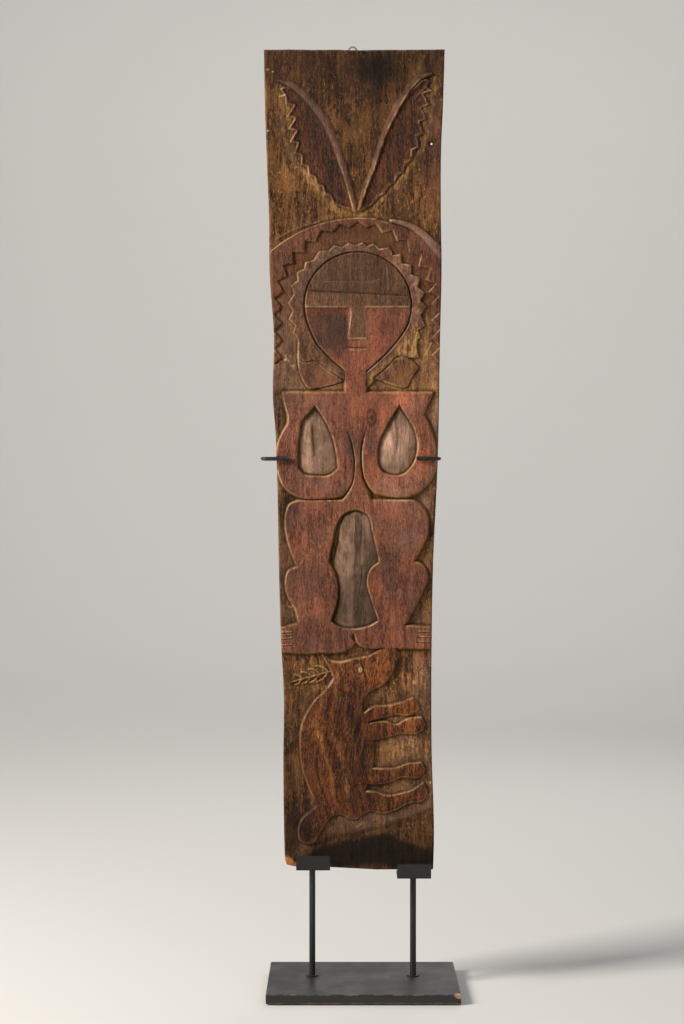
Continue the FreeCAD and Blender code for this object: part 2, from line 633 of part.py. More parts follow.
def make_hanger():
    x = "sheet.plate_x"
    strip = box("Plate_strip", "sheet.plate_wide", "sheet.plate_thick",
                "sheet.eye_height - sheet.plate_low", x + " - sheet.plate_wide / 2",
                "sheet.panel_back", "sheet.plate_low")
    crown = rod("Plate_crown", "sheet.plate_wide / 2", "sheet.plate_thick", x,
                "sheet.panel_back", "sheet.eye_height", "Y")
    holes = [rod("Eye", "sheet.eye_radius", "sheet.plate_thick + 2", x,
                 "sheet.panel_back - 1", "sheet.eye_height", "Y")]
    screws = []
    for number, rise in enumerate((8, 30)):
        z = "sheet.plate_low + %d" % rise
        holes.append(rod("Plate_hole_%d" % number, "1.9", "sheet.plate_thick + 2", x,
                         "sheet.panel_back - 1", z, "Y"))
        shank = rod("Screw_shank_%d" % number, "1.2", "sheet.plate_thick + 10", x,
                    "sheet.panel_back - 10", z, "Y")
        head = rod("Screw_head_%d" % number, "3.4", "1.6", x,
                   "sheet.panel_back + sheet.plate_thick", z, "Y")
        slot = box("Screw_slot_%d" % number, "8", "1", "0.8", x + " - 4",
                   "sheet.panel_back + sheet.plate_thick + 0.8", z + " - 0.4")
        blank = fuse("Screw_blank_%d" % number, [shank, head])
        screws.append(cut("Screw_%d" % number, blank, slot))
    plate = cut("Plate", fuse("Plate_blank", [strip, crown]), fuse("Plate_holes", holes))
    finish(plate, "hanging_plate")
    group = doc.addObject("Part::Compound", "Group_plate_screws")
    group.Links = screws
    finish(group, "plate_screws")


def make_nail():
    shank = rod("Nail_shank", "1.25", "18", "sheet.nail_x", "sheet.ground", "sheet.nail_z", "Y")
    head = doc.addObject("Part::Cone", "Nail_dome")
    head.Placement = FreeCAD.Placement(V(), AXIS_TURN["Y"])
    bind(head, Radius1="sheet.nail_head * 0.7", Radius2="sheet.nail_head", Height="1.4")
    move(head, "sheet.nail_x", "sheet.ground - 1.4", "sheet.nail_z")
    finish(fuse("Nail", [shank, head]), "old_nail")


def export_all():
    doc.recompute()
    bad = [item.Label for item in doc.Objects
           if "Invalid" in item.State or "Error" in item.State]
    if bad:
        raise RuntimeError("objects in error: %s" % bad)
    os.makedirs("parts", exist_ok=True)
    for thing, node in finished:
        shape = thing.Shape
        if shape.isNull() or not shape.isValid():
            raise RuntimeError("bad shape: " + node)
        shape.exportStep("parts/%s.step" % node)
        extent = shape.BoundBox
        print("%-20s solids %d volume %.0f  x %.1f..%.1f y %.1f..%.1f z %.1f..%.1f" % (
            node, len(shape.Solids), shape.Volume, extent.XMin, extent.XMax, extent.YMin,
            extent.YMax, extent.ZMin, extent.ZMax))


make_base()
make_foot_fittings()
make_crossbars()
for side, sign, lining in (("left", -1, "liner"), ("right", 1, "shim")):
    make_post(side)
    make_cradle(side, lining)
    make_clip_arm(side, sign)
    make_thumb_screw(side)
make_panel()
make_hanger()
make_nail()
export_all()
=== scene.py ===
import math
import bpy
import numpy as np
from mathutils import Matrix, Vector

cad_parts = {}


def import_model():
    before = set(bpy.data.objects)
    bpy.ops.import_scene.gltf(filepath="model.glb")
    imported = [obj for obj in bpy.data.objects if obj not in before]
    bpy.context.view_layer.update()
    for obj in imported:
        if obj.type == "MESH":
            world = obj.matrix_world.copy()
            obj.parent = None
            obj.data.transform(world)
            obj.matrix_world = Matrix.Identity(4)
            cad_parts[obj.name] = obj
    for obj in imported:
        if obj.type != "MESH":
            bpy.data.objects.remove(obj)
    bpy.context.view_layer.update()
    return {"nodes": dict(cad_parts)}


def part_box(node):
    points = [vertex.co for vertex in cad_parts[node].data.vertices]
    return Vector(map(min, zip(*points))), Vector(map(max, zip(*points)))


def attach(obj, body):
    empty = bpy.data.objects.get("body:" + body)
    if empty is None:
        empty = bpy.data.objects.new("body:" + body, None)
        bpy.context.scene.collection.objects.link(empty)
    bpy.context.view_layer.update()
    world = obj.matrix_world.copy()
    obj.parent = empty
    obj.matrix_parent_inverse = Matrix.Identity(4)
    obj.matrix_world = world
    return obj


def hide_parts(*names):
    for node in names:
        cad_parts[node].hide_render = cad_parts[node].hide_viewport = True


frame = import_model()
scene = bpy.context.scene

# The plank's own drawing is in millimetres: u across, v up from near the
# middle of its bottom edge, and h the height of the carving above the ground.
PANEL_X = -14.4     # the frame's x at u = 0
PANEL_Z = 240.0     # the frame's z at v = 0
PANEL_TALL = 1604.0
GROUND_Y = -26.0    # the frame's y at h = 0; the front faces -y
BACK_Y = 6.0
COLUMNS = 280       # cells across the carved face
ROWS = 1280         # cells up it
CHIN, CROWN = 977, 1206
HALO_U, HALO_V = 5, 1098    # the centre of the toothed ring round the face
RING_RADIUS = 121.5
SPIKES_U = 2                # the middle of the large teeth
SPIKES_RADIUS = 162.5
BORDER_V = 1023             # the centre of the border outside them
BORDER_RADIUS = 249
FACE_U = 4.0                # the middle of the nose
NAIL_U, NAIL_V = 148.7, 1418.8


# ------------------------------------------------------------ camera and light

def aim(thing, target):
    """Turn a lamp's -Z axis to a point."""
    direction = Vector(target) - thing.location
    thing.rotation_euler = direction.to_track_quat("-Z", "Y").to_euler()


def area_light(name, place, target, size, power, colour):
    """A soft lamp that the camera doesn't see."""
    data = bpy.data.lights.new(name, "AREA")
    data.shape = "RECTANGLE"
    data.size = size[0]
    data.size_y = size[1]
    data.energy = power
    data.color = colour
    light = bpy.data.objects.new(name, data)
    scene.collection.objects.link(light)
    light.visible_camera = False
    light.location = place
    aim(light, target)


def set_stage():
    """The camera, the lamps, the sky and the floor."""
    camera = bpy.data.objects.new("Camera", bpy.data.cameras.new("Camera"))
    scene.collection.objects.link(camera)
    camera.location = (-0.0407, -3.393, 0.939)
    camera.rotation_euler = (math.radians(90), 0, 0)
    camera.data.sensor_width = 36
    camera.data.lens = 60.5
    camera.data.clip_end = 60
    scene.camera = camera
    scene.view_settings.view_transform = "Standard"
    for lamp in (("Key", (-3.45, -1.6, 2.78), (0, 0, 1.0), (1.1, 1.5), 290, (1, 0.95, 0.88)),
                 ("Fill", (2.2, -3.0, 1.6), (0, 0, 0.9), (1.8, 1.8), 17, (1, 0.98, 0.96)),
                 ("Backdrop", (0.0, 4.6, 5.2), (0, 9.2, 1.2), (5.0, 1.6), 150, (1, 0.98, 0.96)),
                 ("Rim", (0.9, 2.6, 2.6), (0, 0, 1.0), (1.6, 1.6), 24, (1, 1, 1))):
        area_light(*lamp)
    world = bpy.data.worlds.new("Studio")
    scene.world = world
    world.use_nodes = True
    background = world.node_tree.nodes["Background"]
    background.inputs["Color"].default_value = (0.82, 0.83, 0.85, 1)
    background.inputs["Strength"].default_value = 0.3
    make_floor()


def make_floor():
    """A round floor that curves up far from the object, so every side has a backdrop."""
    mesh = bpy.data.meshes.new("Floor")
    flat, sweep, steps, sides = 6.0, 3.5, 12, 72
    profile = [(1.5, 0.0), (3.5, 0.0), (flat, 0.0)]
    for step in range(1, steps + 1):
        turn = math.radians(90 * step / steps)
        profile.append((flat + sweep * math.sin(turn), sweep - sweep * math.cos(turn)))
    profile.append((flat + sweep, 6.5))
    points = [(0, 0, 0)]
    for radius, z in profile:
        for k in range(sides):
            turn = 2 * math.pi * k / sides
            points.append((radius * math.cos(turn), radius * math.sin(turn), z))
    faces = [(0, 1 + k, 1 + (k + 1) % sides) for k in range(sides)]
    for ring in range(len(profile) - 1):
        for k in range(sides):
            a = 1 + ring * sides + k
            b = 1 + ring * sides + (k + 1) % sides
            faces.append((a, a + sides, b + sides, b))
    mesh.from_pydata(points, [], faces)
    mesh.polygons.foreach_set("use_smooth", [True] * len(mesh.polygons))
    floor = bpy.data.objects.new("Floor", mesh)
    scene.collection.objects.link(floor)
    material = bpy.data.materials.new("Studio_floor")
    material.use_nodes = True
    shader = material.node_tree.nodes["Principled BSDF"]
    shader.inputs["Base Color"].default_value = (0.66, 0.65, 0.63, 1)
    shader.inputs["Roughness"].default_value = 0.8
    mesh.materials.append(material)


# ------------------------------------------------------------ outlines

def smooth_line(points, step=3.0):
    """Points about a step apart on a smooth curve through the given ones."""
    p = np.array(points, float)
    gaps = np.hypot(*np.diff(p, axis=0).T)
    at = np.concatenate([[0], np.cumsum(gaps)])
    slopes = np.diff(p, axis=0) / gaps[:, None]
    tangents = np.zeros_like(p)
    tangents[0] = slopes[0]
    tangents[-1] = slopes[-1]
    for i in range(1, len(p) - 1):
        total = gaps[i - 1] + gaps[i]
        tangents[i] = (slopes[i - 1] * gaps[i] + slopes[i] * gaps[i - 1]) / total
    if len(p) > 2:
        tangents[0] = 1.5 * slopes[0] - 0.5 * tangents[1]
        tangents[-1] = 1.5 * slopes[-1] - 0.5 * tangents[-2]
    out = []
    for i, gap in enumerate(gaps):
        count = max(1, int(round(gap / step)))
        t = np.arange(count)[:, None] / count
        a = 2 * t ** 3 - 3 * t ** 2 + 1
        b = (t ** 3 - 2 * t ** 2 + t) * gap
        c = 3 * t ** 2 - 2 * t ** 3
        d = (t ** 3 - t ** 2) * gap
        out.append(a * p[i] + b * tangents[i] + c * p[i + 1] + d * tangents[i + 1])
    out.append(p[-1:])
    return np.concatenate(out)


def arc_line(start, through, end, step=3.0):
    """Points on the arc that passes through three points."""
    (ax, ay), (bx, by), (cx, cy) = start, through, end
    d = 2 * (ax * (by - cy) + bx * (cy - ay) + cx * (ay - by))
    sa, sb, sc = ax * ax + ay * ay, bx * bx + by * by, cx * cx + cy * cy
    x = (sa * (by - cy) + sb * (cy - ay) + sc * (ay - by)) / d
    y = (sa * (cx - bx) + sb * (ax - cx) + sc * (bx - ax)) / d
    radius = math.hypot(ax - x, ay - y)
    first = math.atan2(ay - y, ax - x)
    middle = (math.atan2(by - y, bx - x) - first) % (2 * math.pi)
    last = (math.atan2(cy - y, cx - x) - first) % (2 * math.pi)
    if middle > last:
        last -= 2 * math.pi
    count = max(4, int(abs(last) * radius / step))
    turn = first + last * np.arange(count + 1) / count
    return np.stack([x + radius * np.cos(turn), y + radius * np.sin(turn)], 1)


def outline(*strokes):
    """A closed outline from strokes: "line", "curve" or "arc", then its points."""
    parts = []
    for kind, *points in strokes:
        if kind == "curve":
            parts.append(smooth_line(points))
        elif kind == "arc":
            parts.append(arc_line(*points))
        else:
            parts.append(np.array(points, float))
    joined = np.concatenate(parts)
    keep = np.hypot(*(joined - np.roll(joined, 1, 0)).T) > 0.01
    return joined[keep]


LEFT_EDGE = smooth_line([
    (-138, 6), (-139.5, 60), (-141, 200), (-140.5, 345), (-145, 430), (-150, 600),
    (-153, 760), (-157, 862), (-161, 910), (-159.5, 1040), (-168, 1170), (-169, 1271),
    (-173, 1380), (-176, 1460), (-179, 1603.4)])
RIGHT_EDGE = smooth_line([
    (152, 0), (153.5, 50), (149, 240), (149, 440), (152, 600), (161, 800), (165.6, 1048),
    (168.4, 1180), (167, 1290), (167.5, 1410), (171, 1490), (174.4, 1602.8)])

UPPER_BODY = outline(
    ("line", (-142, 933), (150, 932)),
    ("curve", (150, 932), (140, 911), (130, 890)),
    ("curve", (130, 890), (142, 871), (151, 847), (156, 811), (153, 775), (136, 749),
     (111, 733), (67, 730), (40, 737), (21, 760), (14, 800), (18, 846), (24, 868)),
    ("curve", (24, 868), (13, 840), (8, 808), (12, 770), (22, 742), (34, 712)),
    ("line", (34, 712), (-24, 712)),
    ("curve", (-24, 722), (-8, 746), (0, 790), (-6, 834), (-20, 869)),
    ("curve", (-20, 869), (-10, 836), (-4, 795), (-10, 752), (-28, 732), (-60, 726),
     (-108, 728), (-136, 745), (-152, 780), (-152, 830), (-143, 853), (-133, 869)),
    ("curve", (-133, 869), (-131, 884), (-137, 906), (-142, 933)))
LOWER_BODY = outline(
    ("line", (-24, 721), (34, 722), (114, 721)),
    ("curve", (114, 721), (133, 706), (141, 684), (138, 650), (127, 627), (113, 602)),
    ("curve", (113, 602), (131, 595), (140, 577), (136, 556), (124, 533), (110, 503),
     (95, 477)),
    ("line", (95, 477), (147, 474), (147.5, 433), (43, 434)),
    ("curve", (43, 434), (20, 435), (8, 441), (0, 449)),
    ("curve", (0, 449), (-9, 437), (-24, 429), (-42, 425)),
    ("line", (-42, 425), (-144, 425), (-145, 473), (-112, 481)),
    ("curve", (-112, 481), (-117, 508), (-130, 532), (-136, 562), (-131, 583), (-112, 592)),
    ("curve", (-112, 592), (-125, 621), (-134, 652), (-136, 690), (-129, 713), (-112, 721)))
HEAD = outline(
    ("arc", (-90, 1061), (5, 1206), (99, 1061)),
    ("curve", (99, 1061), (84, 1038), (57, 1007), (21, 975)),
    ("line", (21, 975), (-20, 975)),
    ("curve", (-20, 975), (-53, 1004), (-78, 1034), (-90, 1061)))
NECK = outline(("line", (-20, 915), (-20, 1002), (21, 1002), (21, 915)))
LEFT_FIN = outline(
    ("curve", (-113, 998), (-96, 990), (-83, 993), (-56, 976), (-24, 956)),
    ("curve", (-24, 956), (-60, 945), (-93, 942), (-105, 960), (-113, 998)))
RIGHT_FIN = outline(
    ("curve", (38, 961), (60, 979), (88, 1003), (112, 994), (124, 981)),
    ("curve", (124, 981), (112, 966), (98, 943), (70, 949), (38, 961)))
LEFT_JAW = outline(("line", (-40, 1080), (-90, 1080), (-119, 1052), (-112, 1036), (-112, 998),
                    (-100, 994), (-94, 985), (-82, 991), (-20, 957), (-20, 1020)))
RIGHT_JAW = outline(("line", (40, 1080), (21, 1020), (21, 944), (32, 952), (58, 982), (80, 999),
                     (123, 1001), (118, 1026), (121, 1052), (95, 1080)))
LEFT_BOWL = outline(
    ("curve", (-80, 910), (-91, 895), (-104, 880), (-111, 850), (-114, 812), (-114, 786)),
    ("curve", (-114, 786), (-99, 771), (-74, 768), (-50, 770), (-33, 784)),
    ("curve", (-33, 784), (-38, 825), (-56, 875), (-80, 910)))
RIGHT_BOWL = outline(
    ("curve", (86, 911), (64, 876), (47, 841), (41, 808), (48, 781), (67, 770), (92, 771),
     (112, 789), (123, 823), (116, 863), (100, 890), (86, 911)))
VESSEL = outline(
    ("curve", (-50, 486), (-39, 522), (-36, 556), (-44, 583), (-54, 601)),
    ("curve", (-54, 601), (-47, 640), (-38, 677), (-22, 698), (2, 705), (24, 696),
     (35, 660), (48, 601)),
    ("curve", (48, 601), (29, 584), (24, 563), (32, 530), (47, 487)),
    ("curve", (47, 487), (26, 475), (-2, 470), (-30, 473), (-50, 486)))
DEER = outline(
    ("line", (-49, 396), (-65, 420)),
    ("curve", (-65, 420), (-50, 409), (-34, 405), (0, 412), (26, 416), (52, 430), (75, 434)),
    ("curve", (75, 434), (83, 424), (78, 402), (64, 377), (50, 361), (24, 349), (14, 330),
     (13, 312), (22, 294)),
    ("curve", (22, 294), (33, 262), (34, 228), (29, 190), (18, 160), (14, 120), (4, 102)),
    ("curve", (4, 102), (-12, 102), (-24, 109), (-47, 106), (-60, 91), (-79, 58)),
    ("curve", (-79, 58), (-92, 52), (-106, 57), (-111, 78), (-101, 103), (-84, 115),
     (-72, 126)),
    ("curve", (-72, 126), (-86, 153), (-101, 192), (-107, 240), (-102, 290), (-82, 326),
     (-56, 352), (-41, 374)),
    ("line", (-41, 374), (-49, 396)))
LEGS = [
    outline(("curve", (10, 300), (36, 318), (66, 320), (92, 327), (112, 334), (123, 315)),
            ("curve", (123, 315), (108, 305), (72, 304), (40, 295), (22, 290)),
            ("line", (22, 290), (10, 300))),
    outline(("curve", (14, 282), (44, 288), (62, 288), (76, 283), (106, 295), (128, 297)),
            ("curve", (128, 297), (134, 284), (124, 270), (88, 268), (60, 261), (36, 255)),
            ("line", (36, 255), (14, 255), (14, 282))),
    outline(("curve", (14, 203), (44, 197), (72, 197), (104, 206), (128, 209)),
            ("curve", (128, 209), (134, 198), (126, 184), (88, 182), (64, 172), (34, 168)),
            ("line", (34, 168), (10, 172), (14, 203))),
    outline(("curve", (6, 152), (40, 151), (58, 144), (86, 147), (112, 155), (132, 169)),
            ("curve", (132, 169), (139, 154), (133, 139), (104, 132), (76, 118), (52, 112),
             (30, 117), (4, 103)),
            ("line", (4, 103), (6, 152))),
]
LEFT_TIPS = smooth_line([(-135, 1498), (-131, 1462), (-124, 1414), (-98, 1367), (-60, 1321),
                         (-24, 1283)], 1.0)
RIGHT_TIPS = smooth_line([(148, 1524), (141, 1480), (130, 1428), (103, 1376), (62, 1328),
                          (12, 1283)], 1.0)
LEFT_INNER = smooth_line([(-4, 1290), (-19, 1338), (-38, 1394), (-51, 1425), (-70, 1463),
                          (-97, 1494), (-116, 1511), (-137, 1516)])
RIGHT_INNER = smooth_line([(7, 1288), (27, 1338), (53, 1400), (67, 1430), (79, 1456),
                           (96, 1484), (114, 1508), (137, 1531)])
LEFT_RIB = smooth_line([(-149, 1541), (-122, 1526), (-101, 1507), (-82, 1484), (-67, 1463),
                        (-48, 1426), (-35, 1394), (-16, 1338), (-3, 1289)])
RIGHT_RIB = smooth_line([(149, 1555), (130, 1547), (112, 1530), (93, 1503), (79, 1478),
                         (64, 1448), (49, 1408), (38, 1374), (23, 1336), (8, 1291)])


def saw_edge(tips, notch, count):
    """A row of saw teeth: each tip, then its notch to the side of it."""
    points = []
    for number in range(count):
        tip = tips[int(round(number * (len(tips) - 1) / count))]
        share = 1 - 0.45 * number / count
        points += [tip, tip + np.array(notch) * share]
    return np.array(points)


LEFT_LEAF = np.concatenate([saw_edge(LEFT_TIPS, (16, -4), 10), LEFT_INNER])
RIGHT_LEAF = np.concatenate([saw_edge(RIGHT_TIPS, (-16, -7), 10), RIGHT_INNER])


# Where the pale shelf and the stain under the deer have their heights given.
SHELF_U = [-140, -78, -50, 0, 60, 104, 150]
# Marks on the board: the middle of each, its size or width and height, and its strength.
PALE_CHIPS = [
    (-171, 1564, 3.4), (-162, 1560, 2.4), (-171, 1444, 3.0), (115, 366, 6.0),
    (-148, 1363, 3.0), (-116, 1373, 2.6), (146, 170, 3.0), (-137, 997, 3.6), (-122, 985, 3.0)]
KNOTS = [
    (33, 884, 12, 22, 0.7), (72, 567, 26, 34, 0.46), (-127, 520, 6, 9, 0.3),
    (64, 610, 30, 12, 0.25)]
DUSTY_SPOTS = [
    (95, 748, 56, 34, 0.8), (96, 665, 50, 50, 0.8), (95, 905, 50, 22, 0.25),
    (-70, 745, 70, 26, 0.35), (-60, 905, 60, 24, 0.3)]
TONE_SPOTS = [
    (-135, 180, 36, 150, -0.30), (100, 310, 40, 100, 0.55), (118, 1100, 12, 60, 0.35),
    (-70, 1430, 34, 50, -0.14), (92, 1440, 26, 50, -0.14), (-96, 820, 22, 50, 0.18),
    (58, 825, 20, 50, 0.22), (95, 750, 60, 36, 0.26), (-130, 1300, 50, 60, -0.10),
    (33, 884, 12, 22, -0.35), (72, 566, 20, 30, -0.12), (95, 915, 60, 30, 0.3),
    (148, 1225, 26, 24, 0.3), (120, 700, 40, 200, 0.1), (110, 1290, 50, 50, 0.18),
    (-40, 1585, 150, 26, 0.04), (-100, 90, 40, 60, -0.3), (118, 1100, 16, 80, 0.12),
    (60, 915, 60, 24, 0.12), (100, 380, 50, 40, 0.1), (-110, 1300, 50, 50, -0.16),
    (0, 1340, 30, 60, -0.1), (150, 1400, 24, 60, -0.42), (-80, 900, 60, 30, -0.22),
    (-110, 1120, 34, 70, -0.16), (10, 1250, 60, 16, -0.3), (-60, 1320, 60, 40, -0.2),
    (30, 1440, 60, 90, -0.12), (-20, 860, 16, 30, -0.1), (-30, 650, 12, 60, 0.22),
    (-14, 540, 30, 56, -0.30), (20, 620, 14, 70, -0.18), (10, 390, 60, 30, 0.46),
    (-125, 70, 22, 50, -0.5), (0, 1590, 200, 40, -0.26), (60, 1545, 60, 50, -0.3),
    (-70, 810, 14, 50, -0.12), (100, 800, 20, 60, 0.10), (90, 235, 44, 24, 0.36),
    (5, 1400, 40, 60, -0.10), (110, 380, 30, 26, 0.2), (0, 35, 140, 26, -0.5),
    (-20, 86, 60, 14, 0.12), (70, 104, 50, 14, 0.15), (0, 960, 24, 30, -0.08)]


# ------------------------------------------------------------ the height field

def soft(x):
    """A smooth step: 0 up to 0, 1 from 1 on."""
    x = np.clip(x, 0, 1)
    return x * x * (3 - 2 * x)


def after(x, start, width):
    """A smooth rise from 0 at a start to 1 a width later."""
    return soft((x - start) / width)


def before(x, end, width):
    """A smooth fall from 1, a width earlier, to 0 at an end."""
    return soft((end - x) / width)


def rough(u, v, wide, tall, seed):
    """Smooth random values from -1 to 1 in cells of the given size."""
    table = np.random.RandomState(seed).uniform(-1, 1, (256, 256))
    a = u / wide + 900.0
    b = v / tall + 900.0
    i = np.floor(a).astype(int)
    j = np.floor(b).astype(int)
    fa = soft(a - i)
    fb = soft(b - j)
    i0, i1 = i % 256, (i + 1) % 256
    j0, j1 = j % 256, (j + 1) % 256
    low = table[i0, j0] * (1 - fa) + table[i1, j0] * fa
    high = table[i0, j1] * (1 - fa) + table[i1, j1] * fa
    return low * (1 - fb) + high * fb


def blur(field, reach):
    """A near-gaussian blur: three running means each way."""
    for axis in (0, 1, 0, 1, 0, 1):
        pad = [(reach + 1, reach) if k == axis else (0, 0) for k in range(2)]
        total = np.cumsum(np.pad(field, pad, "edge"), axis)
        size = 2 * reach + 1
        upper = np.take(total, range(size, total.shape[axis]), axis)
        lower = np.take(total, range(0, total.shape[axis] - size), axis)
        field = (upper - lower) / size
    return field


def nearest(u, v, du, dv):
    """How far along a straight piece from 0, 0 a point is, and its squared distance."""
    along = np.clip((u * du + v * dv) / (du * du + dv * dv), 0, 1)
    return along, (u - along * du) ** 2 + (v - along * dv) ** 2


class Carving:
    """Heights and colour masks over a grid that follows the plank's edges.

    h is the height, raised the share of the figure's tone, shade a factor on the colour,
    and calm keeps wear away. The other masks are each a tone or a mark of that name."""

    def __init__(self):
        """Lay the grid between the edges and start every mask at 0."""
        t = np.linspace(0, 1, COLUMNS + 1)
        s = np.linspace(0, 1, ROWS + 1)
        rows = PANEL_TALL * s
        left = np.interp(rows, LEFT_EDGE[:, 1], LEFT_EDGE[:, 0])
        right = np.interp(rows, RIGHT_EDGE[:, 1], RIGHT_EDGE[:, 0])
        self.u = left[:, None] + (right - left)[:, None] * t[None, :]
        bottom = np.interp(t, [0, 0.06, 0.30, 0.62, 1.0], [9.0, 5.0, 4.2, -0.6, -0.4])
        top = PANEL_TALL - 0.8 + 0.4 * np.sin(9 * t) - 0.25 * np.cos(23 * t)
        self.v = bottom[None, :] + (top - bottom)[None, :] * s[:, None]
        corner = before(self.v, 26, 22)
        self.u = self.u + 5.0 * corner ** 2 * np.clip(1 - 3 * t[None, :], 0, 1)
        self.side_gap = np.minimum(self.u - self.u[:, :1], self.u[:, -1:] - self.u)
        end_gap = np.minimum(self.v - self.v[:1], self.v[-1:] - self.v)
        self.gap = np.minimum(self.side_gap, end_gap)
        for mask in ("h", "raised", "bowl", "stain", "pale", "red", "dusty", "ochre", "calm",
                     "worn", "deer", "ring"):
            setattr(self, mask, np.zeros_like(self.u))
        self.shade = np.ones_like(self.u)

    def cover(self, mask, amount):
        """Raise a mask to an amount wherever it is less."""
        setattr(self, mask, np.maximum(getattr(self, mask), amount))

    def blend(self, mask, target, share):
        """Bring a mask, or the height, to a target where a share is 1."""
        now = getattr(self, mask)
        setattr(self, mask, now + (target - now) * share)

    def rough(self, wide, tall, seed):
        """Smooth random values over the whole grid."""
        return rough(self.u, self.v, wide, tall, seed)

    def spot(self, u, v, wide, tall):
        """A soft round spot, 1 at its middle."""
        return np.exp(-((self.u - u) / wide) ** 2 - ((self.v - v) / tall) ** 2)

    def rub(self, points, gain, width, rise=1, mask="worn"):
        """A thin streak of a mask along a line."""
        self.cover(mask, gain * soft(rise - self.away(points, 6)[0] / width))

    def window(self, points, reach):
        """The grid's rows and columns near some points."""
        low = points.min(0) - reach
        high = points.max(0) + reach
        near = (self.v >= low[1]) & (self.v <= high[1]) & (self.u >= low[0])
        near &= self.u <= high[0]
        rows = np.where(near.any(1))[0]
        columns = np.where(near.any(0))[0]
        return (slice(rows[0], rows[-1] + 1), slice(columns[0], columns[-1] + 1))

    def depth(self, shape, reach=14.0):
        """Distance inside an outline, less than 0 outside it."""
        where = self.window(shape, reach)
        u, v = self.u[where], self.v[where]
        best = np.full(u.shape, 1e9)
        inside = np.zeros(u.shape, bool)
        for (x0, y0), (x1, y1) in zip(shape, np.roll(shape, -1, 0)):
            dx, dy = x1 - x0, y1 - y0
            best = np.minimum(best, nearest(u - x0, v - y0, dx, dy)[1])
            if y0 != y1:
                crossing = (y0 > v) != (y1 > v)
                inside ^= crossing & (u < x0 + (v - y0) * dx / dy)
        gap = np.sqrt(best)
        out = np.full(self.u.shape, -1e3)
        out[where] = np.where(inside, gap, -gap)
        return out

    def away(self, points, reach=12.0):
        """Distance from an open line, and how far along it the nearest point is.

        A list of three or more points is taken as the guides of a smooth line."""
        if isinstance(points, list) and len(points) > 2:
            points = smooth_line(points)
        points = np.array(points, float)
        where = self.window(points, reach)
        u, v = self.u[where], self.v[where]
        best = np.full(u.shape, 1e9)
        place = np.zeros(u.shape)
        left = np.zeros(u.shape, bool)
        count = len(points) - 1
        for i in range(count):
            x0, y0 = points[i]
            dx, dy = points[i + 1] - points[i]
            along, gap = nearest(u - x0, v - y0, dx, dy)
            closer = gap < best
            best = np.where(closer, gap, best)
            place = np.where(closer, (i + along) / count, place)
            left = np.where(closer, dx * (v - y0) - dy * (u - x0) > 0, left)
        far = np.full(self.u.shape, 1e3)
        far[where] = np.sqrt(best)
        share = np.zeros(self.u.shape)
        share[where] = place
        self.on_left = np.zeros(self.u.shape, bool)
        self.on_left[where] = left
        return far, share

    def raise_to(self, depth, level, wall=4.0, tint=1.0):
        """Leave wood standing inside an outline, with a cut wall outside it.

        The wall is as wide as it says, and tint is how much of the figure's tone it takes."""
        climb = np.clip((depth + wall) / wall, 0, 1)
        climb = 0.75 * climb + 0.25 * soft(climb)
        crown = 0.55 * np.exp(-np.clip(depth, 0, 40) / 1.6)
        target = (level - crown) * climb
        taller = (target > self.h) & (climb > 0)
        self.h = np.where(taller, target, self.h)
        self.raised = np.maximum(self.raised, tint * after(depth, -1.2, 1.8))

    def sink_to(self, depth, level, wall=4.0):
        """Cut wood away inside an outline down to a level."""
        drop = soft(depth / wall)
        self.h = np.where(drop > 0, self.h + (np.minimum(level, self.h) - self.h) * drop,
                          self.h)

    def ridge(self, points, half, height, dusty=0.0):
        """A rounded rib along a line."""
        near, far_end = half if isinstance(half, tuple) else (half, half)
        far, share = self.away(points, max(near, far_end) + 6)
        width = near + (far_end - near) * share
        dome = np.sqrt(np.clip(1 - (far / width) ** 2, 0, 1))
        self.h = np.maximum(self.h, height * dome)
        self.cover("dusty", dusty * soft((width - far) / 2.5))
        return far

    def score(self, points, half, deep):
        """A V-shaped cut along a line."""
        far = self.away(points, half + 4)[0]
        self.h -= deep * np.clip(1 - far / half, 0, 1)

    def scores(self, *cuts):
        """Several V-shaped cuts: each one's half width, depth and points."""
        for half, deep, *points in cuts:
            self.score(points, half, deep)


def share_of_head(share):
    """A height on the face, as a share of the way from chin to crown."""
    return CHIN + share * (CROWN - CHIN)


def triangle(x):
    """A zigzag from 0 to 1 and back for each unit of x."""
    return 1 - np.abs(2 * (x - np.floor(x)) - 1)


def carve_ground(c):
    """The sunk ground, its wavy grain, its worn border and its dabbed low right part."""
    u, v = c.u, c.v
    c.grain_u = u + 7 * c.rough(70, 420, 3)
    for knot_u, knot_v, size in ((72, 566, 26), (-127, 520, 7), (33, 884, 13)):
        du, dv = u - knot_u, (v - knot_v) / 2.2
        near = np.exp(-(du * du + dv * dv) / (2 * size * size))
        c.grain_u = c.grain_u + near * size * 0.8 * np.tanh(du / (0.6 * size))
    low = before(v, 410, 60) * after(u, -108, 20) * before(u, 46, 20)
    sway = 15 * np.sin((v - 130) / 50) + 9 * c.rough(50, 70, 4)
    c.grain_u = c.grain_u + low * sway
    border = soft(1 - c.side_gap / 26) * after(v, 90, 60)
    c.h = 1.1 + 0.5 * c.rough(13, 46, 5) + 0.35 * c.rough(6, 22, 6)
    c.h += 1.9 * border
    strip = soft((u - 128 - 8 * c.rough(30, 60, 8)) / 12)
    strip *= after(v, 1285, 30) * before(v, 1545, 50)
    c.h += 1.3 * strip
    c.raised = 0.5 * strip
    c.h += 0.8 * after(v, 1300, 60)
    low_right = after(u, 14, 16) * before(v, 426, 20) * after(v, 110, 30)
    dabs = rough(u + 0.5 * v, v - 0.3 * u, 9, 13, 12)
    c.h += 0.55 * dabs * low_right
    c.shade *= 1 + 0.2 * dabs * low_right


